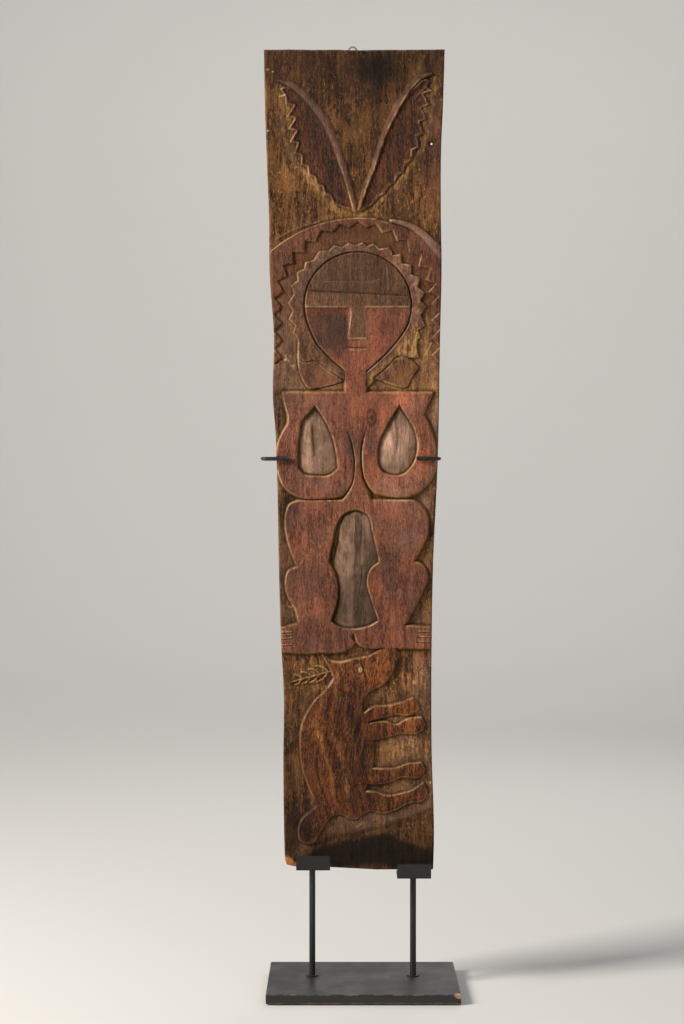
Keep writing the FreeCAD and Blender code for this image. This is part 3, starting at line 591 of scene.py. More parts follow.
def carve_horns(c):
    """Two leaves with sawn outer edges, each under a rib that slopes to the middle."""
    for leaf, rib, left, widths, dusty, calm, at, gain, gaps in (
            (LEFT_LEAF, LEFT_RIB, True, [7, 19, 25, 12], 0.85, 0.95, 0.4, 0.5, 0.3),
            (RIGHT_LEAF, RIGHT_RIB, False, [6, 17, 18, 8], 0.6, 0.6, 1.3, 0.9, 0.5)):
        bed = c.depth(leaf, 20)
        far, share = c.away(rib, 60)
        middle = c.on_left == left
        ends = soft((0.975 - share) * 30)
        joined = np.minimum(bed + 13 * before(far, 20, 9) * ends, far + 3)
        bed = np.where(middle, bed, np.maximum(bed, joined))
        c.cover("ochre", 0.8 * after(bed, -17, 7) * before(bed, 2, 3) * ~middle)
        c.h -= 0.8 * after(bed, -12, 6) * ~middle
        c.raise_to(bed, 5.0, 3.0, 0.85)
        c.h -= 2.1 * after(bed, 1.0, 6) * after(bed, -1, 2)
        wide = np.where(middle, np.interp(share, [0, 0.08, 0.3, 1.0], widths), 2.6)
        fall = np.clip(1 - far / wide, 0, 1)
        profile = np.where(middle, 0.55 * soft(1.2 * fall) + 0.45 * fall, soft(1.3 * fall))
        lift = 6.3 + 0.6 * c.rough(12, 12, 11)
        c.h = np.maximum(c.h, lift * profile)
        band = soft((wide * 0.72 - far) / 7) * (middle | (far < 1.2))
        c.cover("dusty", dusty * band)
        c.shade *= 1 - 0.24 * band * (not left)
        c.shade *= 1 + after(bed, -1, 2) * ~middle * (0.34 * before(bed, 30, 26) - 0.10)
        c.cover("deer", 1.0 * soft(bed / 2) * ~middle)
        c.raised = np.where(band > 0.1, np.maximum(c.raised * 0.6, 0.55 * band), c.raised)
        c.shade *= 1 - 0.42 * after(bed, -1, 2) * (far > 2.0) + 0.06 * band
        c.cover("calm", calm * before(far, 9, 4))
        rim = soft(1.1 - np.abs(far - 1.3) / 1.8) * ~middle
        teeth = soft(1.1 - np.abs(bed - at) / 1.7) * (far > 16) * ~middle
        c.cover("worn", gain * teeth * soft(gaps + c.rough(8, 8, 74)))
        if left:
            c.cover("worn", 0.6 * rim * soft((share - 0.55) * 5))
            # Painted shadow: a dark line at the rib's foot on the leaf side, in its upper part.
            c.shade *= 1 - 0.6 * rim * soft((0.6 - share) * 5)
        else:
            crest = soft(1.3 - far / 2.0) * soft(share * 4)
            c.cover("worn", crest * soft(0.7 + c.rough(8, 14, 75)))
    c.ridge([(-143, 1478), (-136, 1425), (-126, 1397), (-104, 1368), (-79, 1343), (-56, 1316),
             (-34, 1288)], 7.0, 2.6, 0.3)
    c.ridge([(153, 1502), (148, 1472), (140, 1432), (124, 1396), (100, 1362), (70, 1326),
             (40, 1298)], 6.5, 2.6, 0.2)
    for line in ([(-137, 1515), (-148, 1512)], [(134, 1519), (148, 1523)]):
        c.rub(line, 0.7, 2.6, 1, "pale")


def carve_halo(c):
    """Plain ring, small teeth, sunk band and large teeth, one round the other."""
    u, v = c.u, c.v
    du, dv = u - HALO_U, v - HALO_V
    radius = np.hypot(du, dv)
    turn = np.degrees(np.arctan2(du, dv))
    wobble = 1.5 * rough(turn, radius * 0, 11, 1, 21)
    side_u = np.abs(u - SPIKES_U)
    upper = np.sqrt(side_u ** 2 + (dv * 156 / 163) ** 2)
    reach = np.where(dv > 0, upper, side_u)
    arc = np.where(dv > 0, np.radians(np.abs(turn)) * 158, 248 - dv)
    arc = arc + 5 * rough(turn, radius * 0, 17, 1, 22)
    tall = np.interp(np.abs(turn), [0, 25, 50], [9, 13, 16])
    outer = SPIKES_RADIUS - tall + tall * triangle(arc / 32.0 + 0.35) + wobble - reach
    open_side = (v > 990 + 0.2 * (150 - side_u)) & (v < 1290)
    small = np.interp(turn, [-60, 0, 40, 130], [8.5, 5.5, 12, 11])
    step = turn / 12.6 + 0.3 + 0.16 * rough(turn, radius * 0, 15, 1, 23)
    wider = 5.5 * soft((-du - 10) / 70)
    inner = RING_RADIUS + wider + small * triangle(step) + wobble - radius
    lower_end = np.abs(turn) > 130
    head = c.depth(HEAD, 40)
    c.head = head
    jaw = np.maximum(c.depth(LEFT_JAW), c.depth(RIGHT_JAW)) + 0.6 * wobble
    ring = np.where(lower_end, jaw, np.maximum(inner, jaw))
    rim = BORDER_RADIUS - np.hypot(u - SPIKES_U, v - BORDER_V)
    border = np.where(v > 1090, np.minimum(rim, -outer), -outer)
    border = np.where(open_side, np.minimum(border, 40), -50)
    c.raise_to(border, 4.9, 3.2, 0.62)
    c.shade *= 1 - 0.22 * after(border, -1, 2)
    band = np.where(open_side, np.minimum(outer, -inner), -50)
    band = np.where(lower_end & (ring > -2), -50, band)
    inside = after(band, -1, 3)
    c.blend("h", 1.3 + 0.3 * c.rough(8, 8, 9), inside)
    c.cover("red", 0.75 * inside * after(v, 1060, 60))
    c.raise_to(ring, 5.4, 3.2, 0.45)
    on_ring = after(ring, -1, 2)
    c.ring = on_ring * (head < 0)
    c.cover("dusty", on_ring * (0.5 + 0.35 * c.rough(22, 40, 24)))
    c.shade *= 1 - 0.26 * on_ring * before(u, 90, 60) * soft(-head / 2)
    facets = c.rough(7, 10, 25) * c.ring * after(u, 60, 50)
    c.shade *= 1 + 0.3 * facets
    c.h += 0.5 * facets
    # Bright lines along the ring's teeth and the large teeth, set by side through lit: worn
    # edges and painted highlight.
    lit = after(turn, 10, 10) * before(turn, 128, 10) + 0.5 * soft((-turn - 30) / 10)
    brink = soft(1.3 - np.abs(ring + 0.1) / 2.2) * (head < 0)
    c.cover("worn", lit * brink * open_side)
    sharp = after(turn, 5, 20) * soft(1.2 - np.abs(outer - 0.2) / 2.0) * open_side
    c.cover("worn", 0.7 * sharp * (side_u < 146))
    c.ridge([(70, 1268), (84, 1265), (107, 1258), (131, 1242), (150, 1224), (168, 1204)],
            (4.0, 12.0), 7.2, 0.95)
    c.ridge(arc_line((-165, 1208), (-102, 1248), (40, 1271)), 2.0, 5.6, 0.3)
    c.ridge(arc_line((-168, 1222), (-122, 1250), (-70, 1266)), 3.4, 2.9, 0.2)
    c.jaw = jaw


def tone_jaw(c):
    """The strip along the jaw and the low ground beside the neck."""
    u, v, head, jaw = c.u, c.v, c.head, c.jaw
    strip = after(jaw, -2, 3) * (head < 0) * after(np.abs(u), 21, 2)
    east = soft(u / 20)
    c.cover("ochre", (0.2 + 0.75 * east * soft((-head - 7) / 6)) * strip)
    c.cover("dusty", 0.6 * strip * after(head, -12, 8))
    c.shade *= 1 - 0.22 * strip * after(head, -14, 8)
    low_ground = before(v, 1110, 40) * after(v, 936, 6) * (head < -22)
    low_ground = low_ground * (c.raised < 0.4)
    c.cover("ochre", (0.12 + 0.25 * east) * low_ground)
    c.cover("dusty", (0.55 - 0.25 * east) * low_ground)


def carve_fins(c):
    """Two pointed fins under the jaw, each in its moat, and worn lines round them."""
    for fin, tone in ((LEFT_FIN, 0.52), (RIGHT_FIN, 0.46)):
        inside = c.depth(fin)
        on = after(inside, -1, 2)
        c.blend("h", 4.4, on)
        c.h -= 2.6 * soft(1.1 - np.abs(inside + 1.2) / 1.8)
        c.blend("raised", tone, on)
        c.shade *= 1 - 0.2 * on
        c.ochre *= 1 - 0.8 * on
        c.dusty *= 1 - 0.6 * on
        c.cover("worn", 0.9 * soft(1.1 - np.abs(inside - 0.5) / 1.7))
    for line, gain in (([(-111, 1036), (-112, 1016), (-111, 998)], 1.0),
                       ([(-137, 1006), (-128, 988), (-112, 972)], 0.7),
                       ([(120, 1050), (117, 1028), (122, 1004)], 0.8),
                       ([(40, 959), (59, 981), (80, 998), (98, 998)], 0.8)):
        c.rub(line, gain, 1.8, 1.1)
        c.rub(line, 0.5 * gain, 5, 1, "ochre")
    c.rub([(136, 1006), (142, 1016), (148, 1030)], 0.32, 2.6, 1.1, "pale")


def carve_head(c):
    """A round head: plain cap, level brow, straight nose, small mouth, cheeks sunk."""
    u, v = c.u, c.v
    head = c.head
    neck = before(np.abs(u), 24, 3) * before(v, 1000, 14)
    moat = np.clip(1 - np.abs(head + 1.0) / 2.6, 0, 1) * (1 - neck)
    face = after(head, -0.5, 1.5)
    c.blend("h", 5.4, face)
    c.blend("raised", 1, face)
    c.dusty *= 1 - face
    c.h -= 4.0 * moat
    brow_low = share_of_head(0.54)
    nose_low = share_of_head(0.27)
    groove_v = 1126 - 0.05 * (u - 5)
    across = np.abs(u - FACE_U)
    cap = np.minimum(head, v - groove_v)
    c.cap = soft(cap / 2)
    brow = np.minimum(np.minimum(head - 1.2, groove_v - v), v - brow_low)
    flare = 11.5 + 5 * soft((brow_low - v) / (brow_low - nose_low)) ** 1.4
    flare = flare + 7 * np.exp(-np.clip(brow_low - v, 0, 99) / 3.5)
    nose = np.minimum(np.minimum(flare - across, v - nose_low), brow_low + 6 - v)
    bridge = np.maximum(brow, nose)
    on = np.clip((bridge + 2.6) / 2.8, 0, 1) * face
    c.blend("h", 7.9, on)
    tip = np.exp(-((v - nose_low - 12) / 16) ** 2 - (across / 9) ** 2)
    c.h += 0.9 * tip * (nose > -2)
    c.h = np.where(cap > 0, 6.4 + 0.6 * soft(cap / 30), c.h)
    c.h -= 2.2 * np.clip(1 - np.abs(v - groove_v) / 2.2, 0, 1) * (head > -1)
    c.cap = np.maximum(c.cap, after(bridge, -0.6, 1.2)) * face
    cheek = face * (1 - on) * (1 - c.cap)
    swell = np.exp(-((across - 44) / 26) ** 2 - ((v - share_of_head(0.36)) / 36) ** 2)
    c.h += 1.0 * swell * cheek
    mouth_v = share_of_head(0.185)
    bow = mouth_v - 5.5 * np.clip(1 - (across / 21) ** 2, 0, 1)
    lips = np.clip(1 - (across / 22) ** 2, 0, 1)
    low_lip = np.clip(1 - np.abs(v - bow - 0.6) / 2.6, 0, 1) * (lips > 0)
    c.h += 1.3 * low_lip * lips
    c.h -= 2.2 * np.clip(1 - np.abs(v - mouth_v - 0.6) / 1.8, 0, 1) * (across < 20)
    left_side = before(u, FACE_U - 14, 10) * after(v, 990, 40)
    line = np.exp(-((v - brow_low + 0.8) / 1.3) ** 2) * (across > 14) * (head > 1)
    bevel = np.where(u < FACE_U, 1.2, 2.2)
    side = np.exp(-((across - flare - bevel) / bevel) ** 2)
    side *= (v < brow_low - 1) & (v > nose_low)
    base = np.exp(-((v - nose_low + 0.8) / 1.5) ** 2) * (across < 18)
    rim = np.exp(-((head - 1.0) / 1.2) ** 2) * (1 - neck) * (v < groove_v)
    marks = np.maximum.reduce([line, side, base, 0.9 * low_lip * lips, 0.35 * rim])
    c.cover("worn", marks * face)
    c.cover("calm", 0.85 * soft((v - brow_low - 2) / 4) * after(head, -6, 3))
    # Painted shadow of the brow: a deeper red strip just under it on the left cheek.
    strip = soft((v - brow_low + 20) / 4) * soft((brow_low - 2 - v) / 3)
    c.cover("red", 0.75 * cheek * strip * left_side)
    c.cover("dusty", 0.32 * cheek * left_side * (1 - strip))
    c.shade *= 1 - 0.62 * cheek * left_side + 0.10 * cheek * (1 - left_side)
    c.shade *= 1 - c.cap * (0.06 + 0.26 * after(v, 1123, 4))
    c.cover("red", 0.3 * cheek * (1 - left_side))
    c.scores((1.3, 0.6, (-62, 1151), (36, 1150)), (1.0, 0.4, (-46, 1147), (30, 1145)),
             (1.2, 0.7, (63, 1186), (69, 1141)))
    for scratch in ([(-62, 1149), (36, 1148)], [(60, 1182), (66, 1141)],
                    [(20, 1146), (46, 1153)]):
        c.rub(scratch, 0.28, 1.6)


def carve_body(c):
    """Neck, shoulders, arms, waist, legs and feet, with incised toes."""
    neck = c.depth(NECK)
    c.raise_to(neck, 5.4 + 3.4 * before(c.v, 985, 58), 3.4)
    c.dusty *= 1 - after(neck, -2, 2)
    c.ochre *= 1 - after(neck, -2, 2)
    c.raise_to(c.depth(UPPER_BODY), 9.0, 4.2)
    c.raise_to(c.depth(LOWER_BODY), 8.8, 4.2)
    c.scores((2.6, 1.2, (-146, 932.5), (-21, 933)), (2.6, 1.2, (21, 932.5), (154, 932)))
    for side, rows in ((-1, (462, 450, 437)), (1, (463, 453, 443))):
        for row in rows:
            end = 146 * side
            cut = [(end, row), (end - 24 * side, row + 1.5)]
            c.score(cut, 2.0, 2.6)
            edge = [(end, row + 2.4), (end - 22 * side, row + 3.6)]
            c.rub(edge, 0.8, 1.6, 1.2)
            c.rub(edge, 0.3, 1.6, 1.2, "pale")
    c.scores((1.6, 0.7, (34, 619), (60, 618), (80, 609), (88, 596)),
             (1.5, 0.5, (-22, 470), (-36, 455), (-44, 427)))
    hole = c.depth(outline(("line", (-8, 455), (-3, 462), (1, 448), (-3, 446))), 6)
    c.h -= 4.5 * after(hole, -1.5, 3)


def carve_bowls(c):
    """Two drop-shaped hollows whose floors swell up to a keel."""
    for shape in (LEFT_BOWL, RIGHT_BOWL):
        depth = c.depth(shape)
        c.sink_to(depth, 1.4, 3.6)
        mound = 1 - (1 - np.clip((depth - 2.5) / 25, 0, 1)) ** 2
        c.h += 5.4 * mound * (depth > 0)
        c.cover("bowl", after(depth, 1.6, 2))
        c.raised *= 1 - 0.9 * soft(depth / 2)
    cut, share = c.away([(-86, 884), (-83, 845), (-79, 796)], 18)
    ends = soft(4 * share) * soft(5 * (1 - share))
    c.h -= 2.4 * ends * np.clip(1 - cut / np.where(c.on_left, 17, 3.4), 0, 1)
    # Painted shadow: a soft dark wedge beside the step in the left bowl's floor.
    step_shadow = ends * np.exp(-cut / 8) * c.on_left * c.bowl
    c.shade *= 1 - 0.5 * step_shadow
    # Spots on the bowl floors, lighter on the left and darker elsewhere: painted highlight and
    # painted shade on the swelling floors, with mottled tone.
    for u0, v0, wide, tall, gain in (
            (-60, 800, 20, 30, -0.32), (-58, 852, 16, 34, -0.1), (-92, 845, 12, 40, 0.14),
            (-80, 900, 14, 14, -0.25), (70, 784, 34, 12, -0.40), (108, 805, 16, 34, -0.32),
            (86, 892, 16, 20, -0.30), (60, 835, 10, 30, 0.16), (90, 822, 10, 24, 0.12)):
        c.shade *= 1 + gain * c.spot(u0, v0, wide, tall) * c.bowl
    for u0, v0 in ((-58, 782), (-98, 782), (96, 778), (112, 800), (70, 776)):
        c.cover("ochre", 0.5 * c.spot(u0, v0, 10, 8) * c.bowl)
    ridge = c.away([(74, 873), (75, 840), (72, 806)], 14)[0]
    c.h += 1.3 * np.clip(1 - ridge / 8, 0, 1)
    c.score([(84, 862), (83, 835), (80, 815)], 4.0, 0.9)


def carve_vessel(c):
    """A sunk bottle shape: a deep left groove, a left facet, a keel, a valley."""
    u, v = c.u, c.v
    depth = c.depth(VESSEL)
    c.sink_to(depth, 0.4, 3.8)
    levels = [472, 480, 492, 520, 560, 588, 604, 640, 680, 705]
    widths = [3.4, 4, 9, 8, 5, 5, 13, 15, 10, 5]
    ditch = 3.4 + (np.interp(v, levels, widths) - 3.4) * before(u, 6, 12)
    off = u - (-3.0 + 0.02 * (v - 590))
    left = 7.4 - 4.4 * np.clip(-off / 34, 0, 1) ** 1.2
    upper = after(v, 590, 30)
    dip = 6.8 - (3.4 * upper + 1.0) * np.clip(off / 14, 0, 1)
    right = 6.8 - (3.4 * upper + 1.0) + 2.2 * upper * np.clip((off - 14) / 14, 0, 1)
    top = np.where(off < 0, left, np.where(off < 14, dip, right - 0.05 * (off - 14)))
    rise = np.clip((depth - ditch + 3) / 3.5, 0, 1)
    ends = after(v, 472, 26) * before(v, 704, 22)
    c.h += (top - 1.0) * rise * (0.35 + 0.65 * ends)
    c.cover("bowl", soft((depth - ditch + 2) / 2) * (depth > 1))
    c.raised *= 1 - 0.9 * soft(depth / 2)
    c.score([(12, 660), (13, 630), (15, 596), (8, 540), (4, 500)], 2.4, 0.7)
    c.rub([(13, 662), (12, 634), (13, 598)], 0.6, 1.8)
    c.rub([(-2, 680), (-3, 640), (-3, 590), (-4, 540), (-6, 496)], 0.25, 1.6)
    # Painted shade on the floor of the deep left groove, which also takes some ochre.
    sunk = after(depth, -0.5, 2) * soft((ditch - depth) / 3) * (off < 12)
    c.shade *= 1 - 0.25 * sunk
    c.cover("ochre", 0.35 * sunk)
    inside = soft(depth / 3)
    # Painted shade on the facet right of the keel; the lower part and the upper left facet are
    # darker too.
    c.shade *= 1 - 0.34 * inside * soft(off / 3) - 0.24 * inside * before(v, 590, 20)
    c.shade *= 1 - 0.32 * inside * soft(-off / 3) * upper


def carve_deer(c):
    """A deer turned on end: head up, legs to the right, back to the left."""
    u, v = c.u, c.v
    body = c.depth(DEER)
    legs = [c.depth(leg) for leg in LEGS]
    beast = np.maximum.reduce([body] + legs)
    c.raise_to(beast, 7.4, 4.0)
    c.cover("deer", after(beast, -1, 2))
    for thin in legs:
        c.h -= 0.9 * after(u, 36, 8) * before(thin, 5, 5) * (thin > 0)
    c.h += 1.2 * after(body, 2, 30)
    c.scores((1.8, 0.8, (-104, 268), (-80, 273), (-57, 271)),
             (2.6, 1.0, (-56, 271), (-50, 246), (-38, 224), (-26, 206)),
             (4.5, 0.9, (-46, 350), (-52, 306), (-47, 268), (-30, 240), (-24, 205)),
             (4.5, 0.8, (-22, 372), (-16, 330), (2, 296), (12, 262), (6, 226)),
             (2.4, 0.8, (30, 252), (22, 236), (16, 262), (2, 282)),
             (2.6, 0.8, (-28, 168), (-26, 140), (-14, 116)))
    for hoof_u, hoof_v in ((104, 318), (112, 283), (112, 195), (116, 148)):
        c.score([(hoof_u, hoof_v + 12), (hoof_u + 2, hoof_v - 12)], 1.6, 0.5)
    eye = c.depth(outline(("curve", (-3, 396), (3, 404), (12, 403), (16, 394), (12, 383),
                           (4, 381), (-3, 396))))
    c.h -= 1.7 * np.clip(1 - np.abs(eye) / 1.8, 0, 1)
    c.cover("worn", 0.45 * soft(1 - np.abs(eye + 1.5) / 1.8) * (u < 6))
    pupil = np.hypot(u - 10, (v - 391) / 1.3)
    c.h += 1.2 * before(pupil, 5.5, 3)
    c.cover("pale", 0.8 * before(pupil, 5, 2.4))
    c.scores((2.0, 0.6, (-12, 372), (0, 362), (12, 356)), (1.6, 1.0, (70, 430), (74, 418)))
    c.rub([(-41, 375), (-58, 354), (-82, 327), (-100, 294)], 0.55, 2.0)
    c.rub([(-60, 415), (-34, 406), (0, 413), (26, 417), (52, 431), (74, 434)], 0.6, 1.8)
    for flow, wide, gain in (
            ([(-48, 352), (-56, 310), (-52, 272)], 7, -0.28),
            ([(-20, 392), (-26, 350), (-8, 310), (8, 270), (4, 236)], 6, -0.32),
            ([(14, 352), (2, 330), (-6, 300), (6, 262), (12, 214)], 5, -0.28),
            ([(-58, 268), (-52, 240), (-36, 212), (-30, 170), (-24, 118)], 5, -0.36),
            ([(-82, 262), (-80, 220), (-68, 180), (-60, 140)], 5, -0.24),
            ([(-100, 250), (-96, 220), (-86, 176), (-74, 134)], 4, -0.2),
            ([(-6, 190), (-4, 160), (0, 126)], 5, -0.28),
            ([(-70, 262), (-60, 226), (-48, 190), (-42, 150)], 5, 0.42),
            ([(-44, 262), (-32, 232), (-20, 200), (-16, 150)], 5, 0.46),
            ([(-22, 300), (-14, 270), (-2, 240), (2, 200)], 4, 0.3),
            ([(-36, 380), (-38, 350), (-32, 320)], 5, 0.35),
            ([(-86, 300), (-76, 276), (-70, 262)], 7, 0.3)):
        far = c.away(flow, wide * 2.5)[0]
        mark = np.exp(-(far / wide) ** 2) * (0.8 + 0.4 * c.rough(9, 16, 13))
        c.shade *= 1 + gain * mark
        c.cover("ochre", max(gain, 0) * 0.9 * mark)
    c.shade *= 1 + 0.3 * c.spot(20, 392, 56, 26)
    carve_antler(c)


def carve_antler(c):
    """A feathery antler that trails from behind the ear, its barbs to both sides."""
    c.ridge([(-46, 388), (-72, 381), (-98, 374), (-126, 366)], 2.4, 4.4)
    for number in range(4):
        root_u = -52 - 17 * number
        root_v = 386 - 4.4 * number
        size = 1 - 0.13 * number
        upper = [(root_u, root_v), (root_u - 12 * size, root_v + 10 * size),
                 (root_u - 25 * size, root_v + 12 * size)]
        lower = [(root_u - 3, root_v - 1), (root_u - 11 * size, root_v - 13 * size),
                 (root_u - 24 * size, root_v - 19 * size)]
        for tine in (upper, lower):
            far = c.ridge(tine, 2.5, 3.9)
            c.cover("ochre", 0.45 * soft(1 - far / 8))
            c.cover("worn", 0.3 * soft(1 - far / 1.6))


def carve_foot(c):
    """The pale shelf under the deer, and small marks near the bottom edge."""
    u, v = c.u, c.v
    edge = np.interp(u, SHELF_U, [30, 50, 60, 67, 82, 98, 116])
    shelf = soft((v - edge) / 10) * before(v, 170, 40) * after(u, -92, 10)
    shelf *= c.raised < 0.4
    c.h += 2.1 * shelf
    c.cover("dusty", 0.5 * shelf)
    c.cover("ochre", 0.2 * shelf)
    c.shade *= 1 - 0.04 * shelf
    heel = c.spot(-106, 36, 17, 17)
    c.cover("dusty", 0.4 * heel)
    c.shade *= 1 + 0.9 * heel
    c.rub([(-102, 50), (-92, 52), (-78, 60)], 0.8, 5, 1.2, "ochre")
    mark = [(-8, 92), (-2, 86), (4, 85), (9, 91), (18, 93)]
    c.score(mark, 2.2, 1.6)
    c.rub(mark, 0.6, 2.2)
    c.score([(117, 96), (113, 70)], 1.6, 1.2)


def wear_edges(c):
    """The nail's flat bed, chipped sides, and the masks of edges (worn, with painted highlight
    on those facing the upper left), of painted shade in hollows, and of walls.
    """
    u, v = c.u, c.v
    nail = np.hypot(u - NAIL_U, v - NAIL_V)
    c.blend("h", np.minimum(c.h, 1.0), before(nail, 7, 4))
    c.cover("calm", before(nail, 16, 5))
    chips = soft((c.rough(7, 26, 35) - 0.45) / 0.4)
    wear = 3.2 + 2.2 * chips
    drop = 1 - np.clip(c.gap / wear, 0, 1)
    c.h -= 3.4 * (1 - np.sqrt(np.clip(1 - drop * drop, 0, 1))) * (0.6 + 0.4 * chips)
    near = blur(c.h, 1)
    c.edge = np.clip((c.h - near - 0.16) / 0.75, 0, 1) * (1 - c.calm)
    # Painted shade: darker wherever the surface lies below its surroundings, in cuts and
    # recesses.
    c.hollow = np.clip((blur(c.h, 2) - c.h - 0.12) / 1.25, 0, 1)
    slope_v, slope_u = np.gradient(near)
    steep = np.hypot(slope_u, slope_v)
    c.wall = np.clip((steep - 0.5) / 1.1, 0, 1) * (1 - 0.8 * c.calm)
    # Painted highlight: the edge lines are kept strongest where the surface faces the upper
    # left, the key lamp's side.
    upper_left = (slope_u - slope_v) / (1.4 * steep + 0.2)
    c.edge *= 0.2 + 0.8 * soft(0.3 + 0.8 * upper_left)
    back = before(v, 310, 40) * before(u, -40, 20)
    c.edge *= 1 - 0.55 * back
    bowls = np.maximum(c.depth(LEFT_BOWL), c.depth(RIGHT_BOWL))
    rims = after(bowls, -4, 2)
    c.edge *= 1 - 0.35 * rims * (u > 0)
    c.wall *= 1 - 0.6 * rims


def mark_grain(c):
    """Raised grain and tool marks, and the streaks of tone that go with them."""
    v, g = c.v, c.grain_u
    fibre = rough(g, v, 2.6, 34, 31) + 0.6 * rough(g, v, 1.5, 17, 32)
    fibre += 0.6 * rough(g, v, 6.0, 90, 33)
    c.h += 0.17 * fibre * (0.5 + 0.5 * (1 - c.raised))
    c.h += 0.25 * c.rough(15, 26, 34)
    tooled = c.rough(4.4, 8.0, 71) + 0.7 * c.rough(2.7, 4.6, 72)
    c.h += 0.16 * tooled * (1 - 0.6 * c.bowl) * (1 + 1.2 * c.ring)
    c.shade *= 1 + 0.11 * tooled * (1 + 1.2 * c.ring)
    c.h = np.clip(c.h, -1.5, 9.8)
    c.shade *= 1 + 0.17 * c.deer * rough(g, v, 3.4, 130, 73) * (v < 440)
    c.streak = rough(g, v, 4.5, 46, 41) + 0.6 * rough(g, v, 2.2, 20, 42)
    c.streak = c.streak * (1 - 0.3 * c.raised) + 0.4 * c.deer * rough(g, v, 7, 110, 47)


def stain_ends(c):
    """Black stains at the foot and the top, and the bare worn corner at lower left."""
    u, v = c.u, c.v
    patches = c.rough(42, 90, 43) + 0.5 * c.rough(17, 40, 44)
    c.patches = patches
    foot_edge = np.interp(u, SHELF_U, [12, 46, 58, 66, 78, 60, 44])
    foot = soft((foot_edge - v + 5 * patches) / 12) * after(u, -94, 6)
    foot *= soft((v - 2 + 6 * patches) / 10) * (0.94 + 0.06 * soft(0.5 + patches))
    crown = c.spot(42, 1562, 44, 34)
    drip = 0.5 * c.spot(12, 1480, 46, 90)
    c.stain = np.maximum.reduce([foot, 0.85 * soft(crown * (1.2 + 0.3 * patches)), drip * 0.35])
    corner = np.hypot((u + 146) / 34, v / 30) + 0.07 * c.rough(5, 9, 76)
    c.bare = before(corner, 1.0, 0.16)


def mark_knots(c):
    """Pale chips, and knots with dark rings round them."""
    u, v = c.u, c.v
    for u0, v0, size in PALE_CHIPS:
        spot = np.hypot(u - u0, (v - v0) * 1.2)
        c.cover("pale", 0.75 * soft(1.2 - spot / size))
    for u0, v0, wide, tall, gain in KNOTS:
        ring = np.hypot((u - u0) / wide, (v - v0) / tall)
        ring = ring + 0.16 * c.rough(12, 16, 49)
        wave = 0.5 + 0.5 * np.cos(9.5 * ring)
        c.shade *= 1 - gain * wave * np.exp(-ring ** 2)
        c.h -= 1.3 * gain * wave * np.exp(-ring ** 2)
    knot = np.abs(np.hypot((u + 127), (v - 521) / 1.5) - 5.5)
    c.cover("worn", 0.5 * soft(1 - knot / 2.0) * soft(0.5 + c.patches))


def lay_dust(c):
    """Red, dusty and ochre parts of the ground and the figure."""
    u, v, patches = c.u, c.v, c.patches
    low = c.raised < 0.4
    east = soft(u / 10)
    c.cover("red", 0.35 * after(v, 1450, 90) * soft(0.5 + patches))
    c.cover("red", 0.35 * (np.abs(u) < 21) * after(v, 935, 10) * (v < 985))
    c.cover("red", 0.6 * c.spot(62, 905, 60, 46))
    cloud = soft(0.6 + 0.7 * c.rough(20, 26, 48))
    for u0, v0, wide, tall, gain in DUSTY_SPOTS:
        c.cover("dusty", gain * c.spot(u0, v0, wide, tall) * cloud * (c.raised > 0.5))
    flank = low * (c.bowl < 0.2) * before(v, 930, 12) * after(v, 476, 12)
    flank *= after(np.abs(u), 60, 20)
    c.cover("dusty", flank * (0.4 + 0.25 * east) * soft(0.7 + patches))
    c.shade *= 1 - flank * (0.28 - 0.38 * east)
    gaps = after(u, 24, 12) * after(v, 212, 10) * before(v, 258, 10)
    c.cover("ochre", 0.35 * gaps * low)
    c.cover("dusty", 0.12 * gaps * low)
    round_legs = soft(u / 20) * before(v, 424, 16) * after(v, 110, 40)
    c.cover("dusty", 0.3 * round_legs * soft(0.6 + patches) * low)
    west = before(u, -112, 14) * after(v, 1010, 30) * before(v, 1180, 30)
    c.cover("dusty", 0.35 * west * low)


def shade_board(c):
    """Painted shade from foot to top, darker at both ends; the board's mottling, and light and
    dark spots.
    """
    # Painted shade: the board grows darker toward its foot and its top, as the light falls off
    # there.
    heights = [0, 60, 110, 200, 330, 430, 560, 720, 900, 1000, 1250, 1350, 1440, 1520, 1604]
    tones = [.60, .66, .85, .86, .95, 1.02, 1.0, 1.08, 1.16, 1.06, 1.0, 1.0, .86, .72, .58]
    mottle = c.rough(26, 34, 45) + 0.8 * c.rough(10, 22, 46)
    c.shade *= np.interp(c.v, heights, tones) * (1 + 0.2 * c.patches + 0.16 * mottle)
    c.cloud = np.clip(0.5 + 0.5 * c.rough(38, 56, 61) + 0.3 * c.rough(13, 24, 62), 0, 1)
    for u0, v0, wide, tall, gain in TONE_SPOTS:
        c.shade *= 1 + gain * c.spot(u0, v0, wide, tall)


def make_carving():
    """Every carving step in its order; later ones build on the earlier masks."""
    c = Carving()
    for step in (carve_ground, carve_horns, carve_halo, tone_jaw, carve_fins, carve_head,
                 carve_body, carve_bowls, carve_vessel, carve_deer, carve_foot, wear_edges,
                 mark_grain, stain_ends, mark_knots, lay_dust, shade_board):
        step(c)
    return c


# ------------------------------------------------------------ the plank's mesh

